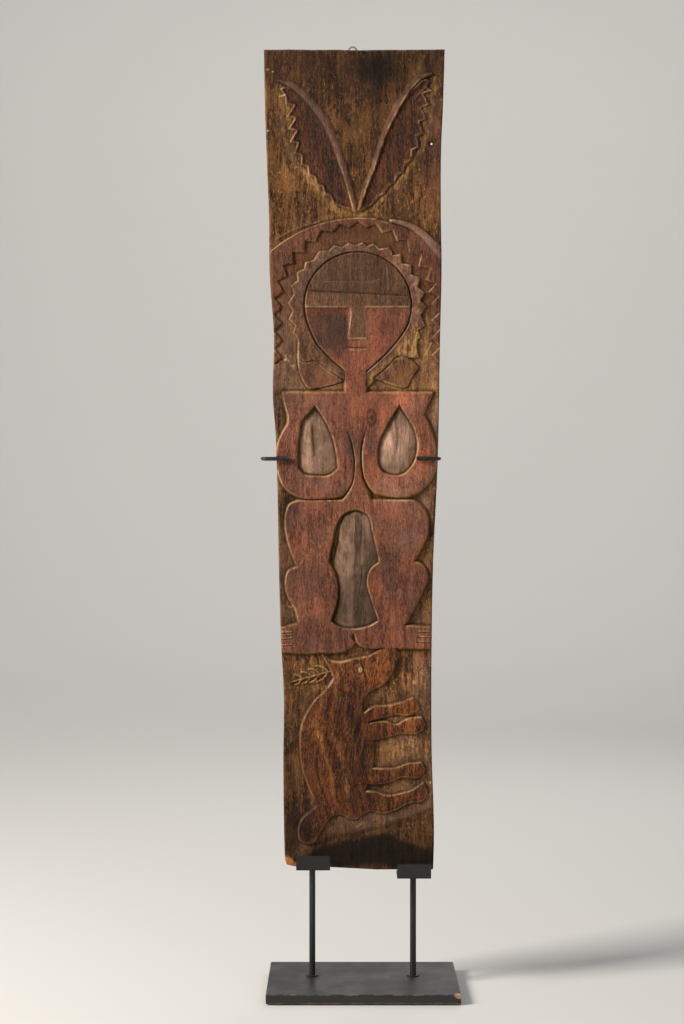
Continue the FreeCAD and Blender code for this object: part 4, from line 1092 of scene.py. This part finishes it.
def plank_mesh(c):
    """A closed mesh: carved front, four sides and a hewn back on a coarser grid."""
    front = np.stack([c.u + PANEL_X, GROUND_Y - c.h, c.v + PANEL_Z], -1)
    rows, columns = front.shape[:2]
    ring = [(r, 0) for r in range(rows)] + [(rows - 1, k) for k in range(1, columns)]
    ring += [(r, columns - 1) for r in range(rows - 2, -1, -1)]
    ring += [(0, k) for k in range(columns - 2, 0, -1)]
    ring = np.array(ring)
    rim = front[ring[:, 0], ring[:, 1]]
    inward = np.zeros_like(rim)
    inward[:, 0] = np.where(ring[:, 1] == 0, 1.0, np.where(ring[:, 1] == columns - 1, -1.0, 0))
    inward[:, 2] = np.where(ring[:, 0] == 0, 1.0, np.where(ring[:, 0] == rows - 1, -1.0, 0))
    along = np.arange(len(rim)) * 1.25      # a cell is about 1.25 mm
    layers = []
    for share in (0.06, 0.2, 0.36, 0.52, 0.68, 0.84, 0.94, 1.0):    # from front to back
        y = rim[:, 1] + (BACK_Y - rim[:, 1]) * share
        hewn = 0.5 + 0.45 * rough(along, y, 22, 9, 51) + 0.2 * rough(along, y, 4, 5, 52)
        inset = np.clip(hewn, 0, 2) * min(1, 4 * share)
        if share > 0.9:
            inset = inset + (share - 0.9) * 14
        layer = rim + inward * inset[:, None]
        layer[:, 1] = y
        layers.append(layer)
    step = 4        # the back's cells are this many times as large
    coarse_u = c.u[::step, ::step]
    coarse_v = c.v[::step, ::step]
    back = np.stack([coarse_u + PANEL_X, np.zeros_like(coarse_u), coarse_v + PANEL_Z], -1)
    adze = 0.9 + 0.8 * rough(coarse_u, coarse_v, 34, 60, 53)
    adze = adze + 0.3 * rough(coarse_u, coarse_v, 9, 80, 54)
    back[..., 1] = BACK_Y - 0.05 - np.clip(adze, 0, 2.4) * soft(c.gap[::step, ::step] / 22)
    middle_x = back[..., 0].mean(1, keepdims=True)
    middle_z = 802      # the back is drawn in a little, to meet the worn sides
    back[..., 0] = middle_x + (back[..., 0] - middle_x) * 0.972
    back[..., 2] = PANEL_Z + middle_z + (back[..., 2] - PANEL_Z - middle_z) * 0.994
    b_rows, b_columns = back.shape[:2]
    count = rows * columns
    points = [front.reshape(-1, 3)] + layers + [back.reshape(-1, 3)]
    index = np.arange(count).reshape(rows, columns)
    quads = [np.stack([index[:-1, :-1], index[:-1, 1:], index[1:, 1:], index[1:, :-1]],
                      -1).reshape(-1, 4)]
    loops = [index[ring[:, 0], ring[:, 1]]]
    size = len(rim)
    loops += [count + k * size + np.arange(size) for k in range(len(layers))]
    for first, second in zip(loops, loops[1:]):
        quads.append(np.stack([first, np.roll(first, -1), np.roll(second, -1), second], -1))
    start = count + len(layers) * size
    low = start + np.arange(b_rows * b_columns).reshape(b_rows, b_columns)
    quads.append(np.stack([low[:-1, :-1], low[1:, :-1], low[1:, 1:], low[:-1, 1:]],
                          -1).reshape(-1, 4))
    b_ring = np.concatenate([low[:, 0], low[-1, 1:], low[-2::-1, -1], low[0, -2:0:-1]])
    last = loops[-1]
    f = last.reshape(-1, step)
    f_next = np.roll(f, -1, 0)[:, 0]
    b_next = np.roll(b_ring, -1)
    triangles = np.concatenate([
        np.stack([f[:, 0], f[:, 1], b_ring], -1), np.stack([f[:, 1], f[:, 2], b_ring], -1),
        np.stack([f[:, 2], b_next, b_ring], -1), np.stack([f[:, 2], f[:, 3], b_next], -1),
        np.stack([f[:, 3], f_next, b_next], -1)])
    return np.concatenate(points) / 1000, np.concatenate(quads), triangles


def build_mesh(name, points, quads, triangles):
    """A smooth-shaded mesh from arrays of points and faces."""
    mesh = bpy.data.meshes.new(name)
    mesh.vertices.add(len(points))
    mesh.vertices.foreach_set("co", points.astype(np.float32).ravel())
    mesh.loops.add(quads.size + triangles.size)
    corners = np.concatenate([quads.ravel(), triangles.ravel()])
    mesh.loops.foreach_set("vertex_index", corners.astype(np.int32))
    totals = np.concatenate([np.full(len(quads), 4), np.full(len(triangles), 3)])
    starts = np.concatenate([[0], np.cumsum(totals)[:-1]])
    mesh.polygons.add(len(totals))
    mesh.polygons.foreach_set("loop_start", starts.astype(np.int32))
    mesh.update(calc_edges=True)
    mesh.validate()
    mesh.polygons.foreach_set("use_smooth", np.ones(len(mesh.polygons), bool))
    return mesh


def paint(mesh, name, channels, filler):
    """Store four masks as one colour per vertex; filler is for the other sides."""
    total = len(mesh.vertices)
    values = np.tile(np.array(filler, np.float32), (total, 1))
    for k, channel in enumerate(channels):
        values[:channel.size, k] = channel.ravel()
    layer = mesh.attributes.new(name, "FLOAT_COLOR", "POINT")
    layer.data.foreach_set("color", values.ravel())


# ------------------------------------------------------------ material helpers

EVEN = (1, 1, 1)    # noise with no stretch


class Nodes:
    """A short way to write a material's node tree."""

    def __init__(self, name):
        """A new material with its shader and the piece's own coordinates."""
        self.material = bpy.data.materials.new(name)
        self.material.use_nodes = True
        self.tree = self.material.node_tree
        self.shader = self.tree.nodes["Principled BSDF"]
        self.place = self.tree.nodes.new("ShaderNodeTexCoord").outputs["Object"]

    def set(self, **values):
        """Plain values on the shader; an underscore stands for a space."""
        for name, value in values.items():
            self.shader.inputs[name.replace("_", " ")].default_value = value

    def link(self, out, name):
        """Join a socket to the shader."""
        self.tree.links.new(out, self.shader.inputs[name])

    def feed(self, node, name, value):
        """Link a socket, or set it when the value is a plain one."""
        socket = node.inputs[name]
        if isinstance(value, bpy.types.NodeSocket):
            self.tree.links.new(value, socket)
        elif value is not None:
            socket.default_value = value

    def noise(self, scale, stretch, detail, roughness, twist=0.0):
        """Noise over the piece's own place, in metres."""
        mapping = self.tree.nodes.new("ShaderNodeMapping")
        mapping.inputs["Scale"].default_value = stretch
        self.tree.links.new(self.place, mapping.inputs["Vector"])
        node = self.tree.nodes.new("ShaderNodeTexNoise")
        node.inputs["Scale"].default_value = scale
        node.inputs["Detail"].default_value = detail
        node.inputs["Roughness"].default_value = roughness
        node.inputs["Distortion"].default_value = twist
        self.tree.links.new(mapping.outputs["Vector"], node.inputs["Vector"])
        return node.outputs["Fac"]

    def ramp(self, value, low, high, out_low=0.0, out_high=1.0):
        """A smooth step from low to high."""
        node = self.tree.nodes.new("ShaderNodeMapRange")
        node.interpolation_type = "SMOOTHSTEP"
        self.feed(node, "Value", value)
        self.feed(node, "From Min", low)
        self.feed(node, "From Max", high)
        self.feed(node, "To Min", out_low)
        self.feed(node, "To Max", out_high)
        return node.outputs["Result"]

    def maths(self, kind, a, b=None):
        """One sum on two sockets or numbers."""
        node = self.tree.nodes.new("ShaderNodeMath")
        node.operation = kind
        self.feed(node, 0, a)
        self.feed(node, 1, b)
        return node.outputs[0]

    def total(self, *terms):
        """The sum of sockets, each times its weight."""
        weighted = [self.maths("MULTIPLY", socket, weight) for socket, weight in terms]
        result = weighted[0]
        for term in weighted[1:]:
            result = self.maths("ADD", result, term)
        return result

    def mix(self, share, a, b):
        """Colour a at share 0, colour b at share 1."""
        node = self.tree.nodes.new("ShaderNodeMix")
        node.data_type = "RGBA"
        self.feed(node, 0, share)
        for socket, value in ((6, a), (7, b)):
            if isinstance(value, tuple):
                value = (*value, 1.0)
            self.feed(node, socket, value)
        return node.outputs[2]

    def scale(self, colour, amount):
        """A colour times a number."""
        node = self.tree.nodes.new("ShaderNodeVectorMath")
        node.operation = "SCALE"
        self.tree.links.new(colour, node.inputs[0])
        self.feed(node, "Scale", amount)
        return node.outputs[0]

    def grained(self, noise, low, high, dark, light):
        """Two tones, from dark to light as a noise rises from low to high."""
        return self.mix(self.ramp(noise, low, high), dark, light)

    def layers(self, colour, *coats):
        """Coats over a colour, each up to its share where its noise passes low to high."""
        for noise, low, high, share, tone in coats:
            colour = self.mix(self.ramp(noise, low, high, 0, share), colour, tone)
        return colour

    def tint(self, colour, mask, share, tone):
        """A tone over a colour where a mask times a share is 1."""
        return self.mix(self.maths("MULTIPLY", mask, share), colour, tone)

    def masks(self, name):
        """The four channels of one of the mesh's colour layers."""
        node = self.tree.nodes.new("ShaderNodeAttribute")
        node.attribute_name = name
        split = self.tree.nodes.new("ShaderNodeSeparateColor")
        self.tree.links.new(node.outputs["Color"], split.inputs["Color"])
        return (*split.outputs, node.outputs["Alpha"])

    def bump(self, height, distance, strength=1.0):
        """Small relief on the shader's normal."""
        node = self.tree.nodes.new("ShaderNodeBump")
        node.inputs["Strength"].default_value = strength
        node.inputs["Distance"].default_value = distance
        self.tree.links.new(height, node.inputs["Height"])
        self.tree.links.new(node.outputs["Normal"], self.shader.inputs["Normal"])

    def done(self, colour, gloss, bump, **values):
        """Join the colour, a roughness ramp and a bump to the shader."""
        self.link(colour, "Base Color")
        self.link(self.ramp(*gloss), "Roughness")
        self.set(**values)
        self.bump(*bump)
        return self.material


def carved_wood():
    """Ground, figure, hollows and sawn sides, then dust, ochre, dirt, painted shade in
    recesses, the shade factor (tone and painted shade), wear with painted highlight on edges,
    and stain.

    The masks come from the relief; "plain" is 1 on the sides and the back."""
    n = Nodes("Carved_wood")
    raised, edge, hollow, bowl = n.masks("tone")
    stain, pale, red, dusty = n.masks("age")
    wall, streak, cap, bare = n.masks("cut")
    shade, ochre, deer, worn = n.masks("skin")
    cloud, plain = n.masks("drift")[:2]
    fine = n.noise(1.0, (400, 150, 90), 4.0, 0.65)
    grit = n.noise(1.0, (330, 330, 230), 5.0, 0.75)
    pores = n.noise(1.0, (1000, 400, 110), 3.0, 0.6)
    broad = n.noise(1.0, (80, 30, 14), 4.0, 0.6, 0.4)
    blot = n.noise(1.0, (44, 44, 26), 5.0, 0.65)
    weave = n.noise(1.0, (520, 260, 170), 3.0, 0.7)
    long_grain = n.noise(1.0, (150, 150, 5), 6.0, 0.65, 0.3)
    grain = n.total((fine, 0.5), (streak, 0.22), (weave, 0.28))
    flecks = n.ramp(n.noise(1.0, (330, 200, 120), 5.0, 0.7), 0.56, 0.70)
    ground = n.layers(
        n.grained(grain, 0.43, 0.57, (0.022, 0.009, 0.003), (0.185, 0.077, 0.024)),
        (blot, 0.50, 0.70, 0.55, (0.215, 0.108, 0.042)),
        (broad, 0.52, 0.75, 0.5, (0.048, 0.024, 0.012)),
        (cloud, 0.55, 0.95, 0.6, (0.052, 0.025, 0.011)),
        (cloud, 0.45, 0.1, 0.55, (0.24, 0.105, 0.034)))
    ground = n.tint(ground, flecks, 0.85, (0.46, 0.23, 0.065))
    wood = n.layers(
        n.grained(grain, 0.40, 0.60, (0.072, 0.021, 0.011), (0.245, 0.086, 0.045)),
        (blot, 0.46, 0.72, 0.6, (0.150, 0.068, 0.045)),
        (cloud, 0.55, 0.95, 0.55, (0.085, 0.040, 0.030)),
        (cloud, 0.42, 0.1, 0.5, (0.27, 0.080, 0.036)))
    wood = n.tint(wood, red, 0.75, (0.33, 0.092, 0.042))
    hide = n.grained(grain, 0.42, 0.60, (0.020, 0.006, 0.002), (0.205, 0.057, 0.011))
    wood = n.tint(wood, deer, 0.95, n.tint(hide, flecks, 0.6, (0.42, 0.17, 0.05)))
    dark = n.grained(grain, 0.38, 0.62, (0.062, 0.030, 0.014), (0.180, 0.088, 0.040))
    wood = n.tint(wood, cap, 0.85, dark)
    colour = n.grained(raised, 0.25, 0.75, ground, wood)
    red_ground = n.maths("MAXIMUM", n.maths("SUBTRACT", 0.8, raised), 0.0)
    colour = n.tint(colour, red, red_ground, (0.125, 0.045, 0.025))
    hollowed = n.layers(
        n.grained(grain, 0.3, 0.7, (0.175, 0.100, 0.066), (0.33, 0.195, 0.138)),
        (blot, 0.44, 0.62, 0.75, (0.125, 0.078, 0.036)),
        (broad, 0.50, 0.66, 0.6, (0.090, 0.052, 0.027)),
        (cloud, 0.3, 0.1, 0.45, (0.38, 0.235, 0.165)))
    colour = n.mix(bowl, colour, n.tint(hollowed, flecks, 0.5, (0.38, 0.22, 0.085)))
    colour = n.tint(colour, dusty, n.ramp(blot, 0.3, 0.6, 0.5, 0.9), (0.225, 0.122, 0.088))
    gold = n.grained(grain, 0.38, 0.62, (0.110, 0.047, 0.014), (0.47, 0.25, 0.075))
    colour = n.tint(colour, ochre, n.ramp(blot, 0.35, 0.65, 0.35, 0.9), gold)
    sawn = n.layers(
        n.grained(long_grain, 0.36, 0.62, (0.032, 0.015, 0.007), (0.175, 0.090, 0.042)),
        (broad, 0.5, 0.75, 0.6, (0.060, 0.033, 0.018)),
        (blot, 0.5, 0.75, 0.3, (0.21, 0.12, 0.06)))
    colour = n.tint(colour, plain, 0.85, sawn)
    rugged = n.ramp(bowl, 0.0, 1.0, 1.0, 0.3)
    colour = n.tint(colour, n.ramp(pores, 0.36, 0.46, 0.5, 0.0), rugged, (0.030, 0.015, 0.009))
    colour = n.tint(colour, n.ramp(grit, 0.46, 0.36, 0.0, 0.75), rugged, (0.020, 0.009, 0.004))
    colour = n.layers(colour, (grit, 0.60, 0.70, 0.45, (0.38, 0.20, 0.075)))
    # Painted shade in the recesses.
    colour = n.tint(colour, hollow, 0.85, (0.026, 0.014, 0.006))
    broken = n.ramp(n.maths("ADD", blot, n.maths("MULTIPLY", fine, 0.5)), 0.64, 0.86, 0.15, 1.0)
    colour = n.tint(colour, n.maths("MULTIPLY", wall, broken), 0.5, (0.33, 0.17, 0.045))
    colour = n.scale(colour, shade)
    # Edge lines in the rubbed colour: worn edges, with painted highlight on those facing the
    # upper left.
    lines = n.maths("MAXIMUM", edge, n.maths("MULTIPLY", worn, 1.25))
    rubbed = n.grained(broad, 0.42, 0.6, (0.42, 0.25, 0.17), (0.56, 0.33, 0.12))
    colour = n.tint(colour, n.maths("MULTIPLY", lines, broken), 0.8, rubbed)
    colour = n.tint(colour, pale, n.ramp(broken, 0.0, 1.0, 0.45, 1.0), (0.66, 0.46, 0.25))
    smear = n.ramp(n.maths("ADD", blot, broad), 0.8, 1.3, 1.0, 0.8)
    colour = n.tint(colour, stain, smear, (0.007, 0.004, 0.002))
    fresh = n.grained(fine, 0.3, 0.7, (0.31, 0.10, 0.022), (0.45, 0.19, 0.05))
    colour = n.mix(bare, colour, fresh)
    n.link(colour, "Base Color")
    shine = n.ramp(raised, 0.2, 0.8, 0.80, 0.55)
    shine = n.maths("ADD", shine, n.maths("MULTIPLY", n.maths("SUBTRACT", blot, 0.5), 0.3))
    n.link(shine, "Roughness")
    n.set(Specular_IOR_Level=0.16)
    n.bump(n.total((fine, 0.6), (pores, 0.4), (grit, 0.7)), 0.0019, 1.0)
    return n.material


def make_plank():
    """The carved plank, with its masks stored on the points, in place of the CAD one."""
    c = make_carving()
    mesh = build_mesh("Carved_plank", *plank_mesh(c))
    paint(mesh, "tone", (c.raised, c.edge, c.hollow, c.bowl), (0.15, 0, 0, 0))
    paint(mesh, "age", (c.stain, c.pale, c.red, c.dusty), (0.25, 0, 0, 0))
    grain = np.clip(0.5 + 0.35 * c.streak, 0, 1)
    paint(mesh, "cut", (c.wall, grain, c.cap, c.bare), (0.2, 0.5, 0, 0))
    worn = np.clip(c.worn, 0, 1)
    paint(mesh, "skin", (c.shade, c.ochre, c.deer, worn), (0.9, 0, 0, 0))
    paint(mesh, "drift", (c.cloud, c.v * 0, c.v * 0, c.v * 0), (0.4, 1, 0, 0))
    mesh.materials.append(carved_wood())
    plank = bpy.data.objects.new("Carved_plank", mesh)
    scene.collection.objects.link(plank)
    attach(plank, "panel")
    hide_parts("carved_panel")


# ------------------------------------------------------------ the stand and fixings

def black_coat():
    """Matte powder coat on steel, with scuffs and a little dust."""
    n = Nodes("Black_coat")
    cloud = n.noise(9.0, EVEN, 5.0, 0.6)
    scuff = n.noise(1.0, (60, 60, 14), 6.0, 0.7, 1.2)
    speck = n.noise(1400.0, EVEN, 2.0, 0.5)
    colour = n.layers(
        n.grained(cloud, 0.35, 0.65, (0.0085, 0.0085, 0.0090), (0.017, 0.0165, 0.016)),
        (scuff, 0.62, 0.74, 0.5, (0.055, 0.052, 0.048)))
    return n.done(colour, (scuff, 0.4, 0.7, 0.42, 0.62), (speck, 0.0002, 0.6),
                  Specular_IOR_Level=0.4)


def painted_board():
    """Black satin board: brushed, its edges rubbed and one front corner chipped."""
    low, high = (Vector(corner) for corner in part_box("base_slab"))
    n = Nodes("Painted_board")
    split = n.tree.nodes.new("ShaderNodeSeparateXYZ")
    n.tree.links.new(n.place, split.inputs[0])
    gaps = []
    for axis in range(3):
        middle = (low[axis] + high[axis]) / 2
        half = (high[axis] - low[axis]) / 2
        away = n.maths("ABSOLUTE", n.maths("SUBTRACT", split.outputs[axis], middle))
        gaps.append(n.maths("SUBTRACT", half, away))
    total = n.maths("ADD", n.maths("ADD", gaps[0], gaps[1]), gaps[2])
    largest = n.maths("MAXIMUM", n.maths("MAXIMUM", gaps[0], gaps[1]), gaps[2])
    edge = n.maths("SUBTRACT", total, largest)
    cloud = n.noise(14.0, EVEN, 5.0, 0.6)
    brush = n.noise(1.0, (6, 160, 160), 5.0, 0.6)
    ragged = n.noise(70.0, EVEN, 6.0, 0.7)
    colour = n.layers(
        n.grained(brush, 0.3, 0.7, (0.009, 0.009, 0.0095), (0.020, 0.0195, 0.019)),
        (cloud, 0.55, 0.75, 0.5, (0.034, 0.032, 0.030)))
    reach = n.maths("MULTIPLY", n.maths("SUBTRACT", ragged, 0.36), 0.010)
    rub = n.ramp(n.maths("SUBTRACT", reach, edge), 0.0, 0.0009)
    colour = n.tint(colour, rub, 0.7, (0.17, 0.125, 0.090))
    near = n.tree.nodes.new("ShaderNodeVectorMath")
    near.operation = "DISTANCE"
    n.tree.links.new(n.place, near.inputs[0])
    near.inputs[1].default_value = (high.x - 0.004, low.y, high.z)
    chip = n.maths("ADD", near.outputs["Value"], n.maths("MULTIPLY", ragged, 0.020))
    chip = n.ramp(chip, 0.0160, 0.0200, 1.0, 0.0)
    bare = n.grained(ragged, 0.4, 0.6, (0.32, 0.13, 0.07), (0.50, 0.36, 0.26))
    height = n.maths("SUBTRACT", n.maths("MULTIPLY", brush, 0.4), chip)
    return n.done(n.mix(chip, colour, bare), (cloud, 0.3, 0.7, 0.36, 0.56),
                  (height, 0.0006, 0.7))


def felt_cloth():
    """Black felt: short fibres and pale tufts."""
    n = Nodes("Felt_cloth")
    fibres = n.noise(900.0, EVEN, 6.0, 0.75, 2.5)
    tufts = n.noise(120.0, EVEN, 4.0, 0.6)
    colour = n.layers(
        n.grained(fibres, 0.35, 0.65, (0.010, 0.010, 0.011), (0.042, 0.041, 0.040)),
        (tufts, 0.5, 0.7, 0.4, (0.055, 0.053, 0.050)))
    n.link(colour, "Base Color")
    n.set(Roughness=0.95, Sheen_Weight=0.35, Sheen_Roughness=0.5, Specular_IOR_Level=0.1)
    n.bump(fibres, 0.0006, 0.9)
    return n.material


def soft_rubber():
    """Black rubber with a grey bloom and fine moulded ribs."""
    n = Nodes("Soft_rubber")
    bloom = n.noise(160.0, EVEN, 5.0, 0.6)
    ribs = n.noise(1.0, (260, 1200, 1200), 2.0, 0.5)
    colour = n.grained(bloom, 0.42, 0.72, (0.012, 0.012, 0.012), (0.045, 0.044, 0.042))
    return n.done(colour, (bloom, 0.3, 0.7, 0.62, 0.85), (ribs, 0.0002, 0.5),
                  Specular_IOR_Level=0.3)


def plated_steel(name, light, dark, shine):
    """Bare or plated steel with fine scratches and dull patches."""
    n = Nodes(name)
    scratch = n.noise(1.0, (900, 900, 60), 4.0, 0.6, 0.3)
    patch = n.noise(220.0, EVEN, 5.0, 0.6)
    return n.done(n.grained(patch, 0.35, 0.7, light, dark),
                  (patch, 0.3, 0.75, shine, shine + 0.25), (scratch, 0.0001, 0.6),
                  Metallic=0.95)


def shim_wood():
    """The dark offcut under the plank's right foot."""
    n = Nodes("Shim_wood")
    grain = n.noise(1.0, (30, 420, 420), 5.0, 0.6, 0.4)
    blot = n.noise(60.0, EVEN, 4.0, 0.6)
    colour = n.layers(
        n.grained(grain, 0.35, 0.65, (0.022, 0.016, 0.011), (0.060, 0.042, 0.028)),
        (blot, 0.5, 0.7, 0.5, (0.09, 0.065, 0.045)))
    return n.done(colour, (grain, 0.3, 0.7, 0.6, 0.8), (grain, 0.0004, 0.6))


def pale_nail():
    """A pale nail head with brown spots."""
    n = Nodes("Pale_nail")
    spot = n.noise(900.0, EVEN, 4.0, 0.6)
    colour = n.grained(spot, 0.55, 0.75, (0.80, 0.78, 0.73), (0.42, 0.36, 0.28))
    return n.done(colour, (spot, 0.3, 0.7, 0.35, 0.6), (spot, 0.0002, 0.5))


def dress_frame():
    """A material for each node that stays, and soft edges on the square ones."""
    coat = black_coat()
    felt = felt_cloth()
    zinc = plated_steel("Zinc_steel", (0.52, 0.53, 0.54), (0.26, 0.26, 0.25), 0.35)
    bright = plated_steel("Bright_steel", (0.78, 0.77, 0.74), (0.48, 0.46, 0.42), 0.22)
    special = {"felt_underlay": felt, "left_cradle_liner": felt, "base_slab": painted_board(),
               "foot_washers": zinc, "foot_nuts": zinc, "right_cradle_shim": shim_wood(),
               "hanging_plate": bright, "plate_screws": bright, "old_nail": pale_nail()}
    rubber = soft_rubber()
    for name in ("bumper_rings", "left_tip_sleeve", "right_tip_sleeve"):
        special[name] = rubber
    for name, node in frame["nodes"].items():
        for slot in node.material_slots:
            slot.material = special.get(name, coat)
    for name, width in (("base_slab", 0.0011), ("left_cradle", 0.0005),
                        ("right_cradle", 0.0005), ("foot_collars", 0.0004)):
        bevel = frame["nodes"][name].modifiers.new("Soft_edges", "BEVEL")
        bevel.width = width
        bevel.segments = 3
        bevel.limit_method = "ANGLE"
        bevel.angle_limit = math.radians(50)
        bevel.harden_normals = True


# ------------------------------------------------------------ build

set_stage()
dress_frame()
make_plank()
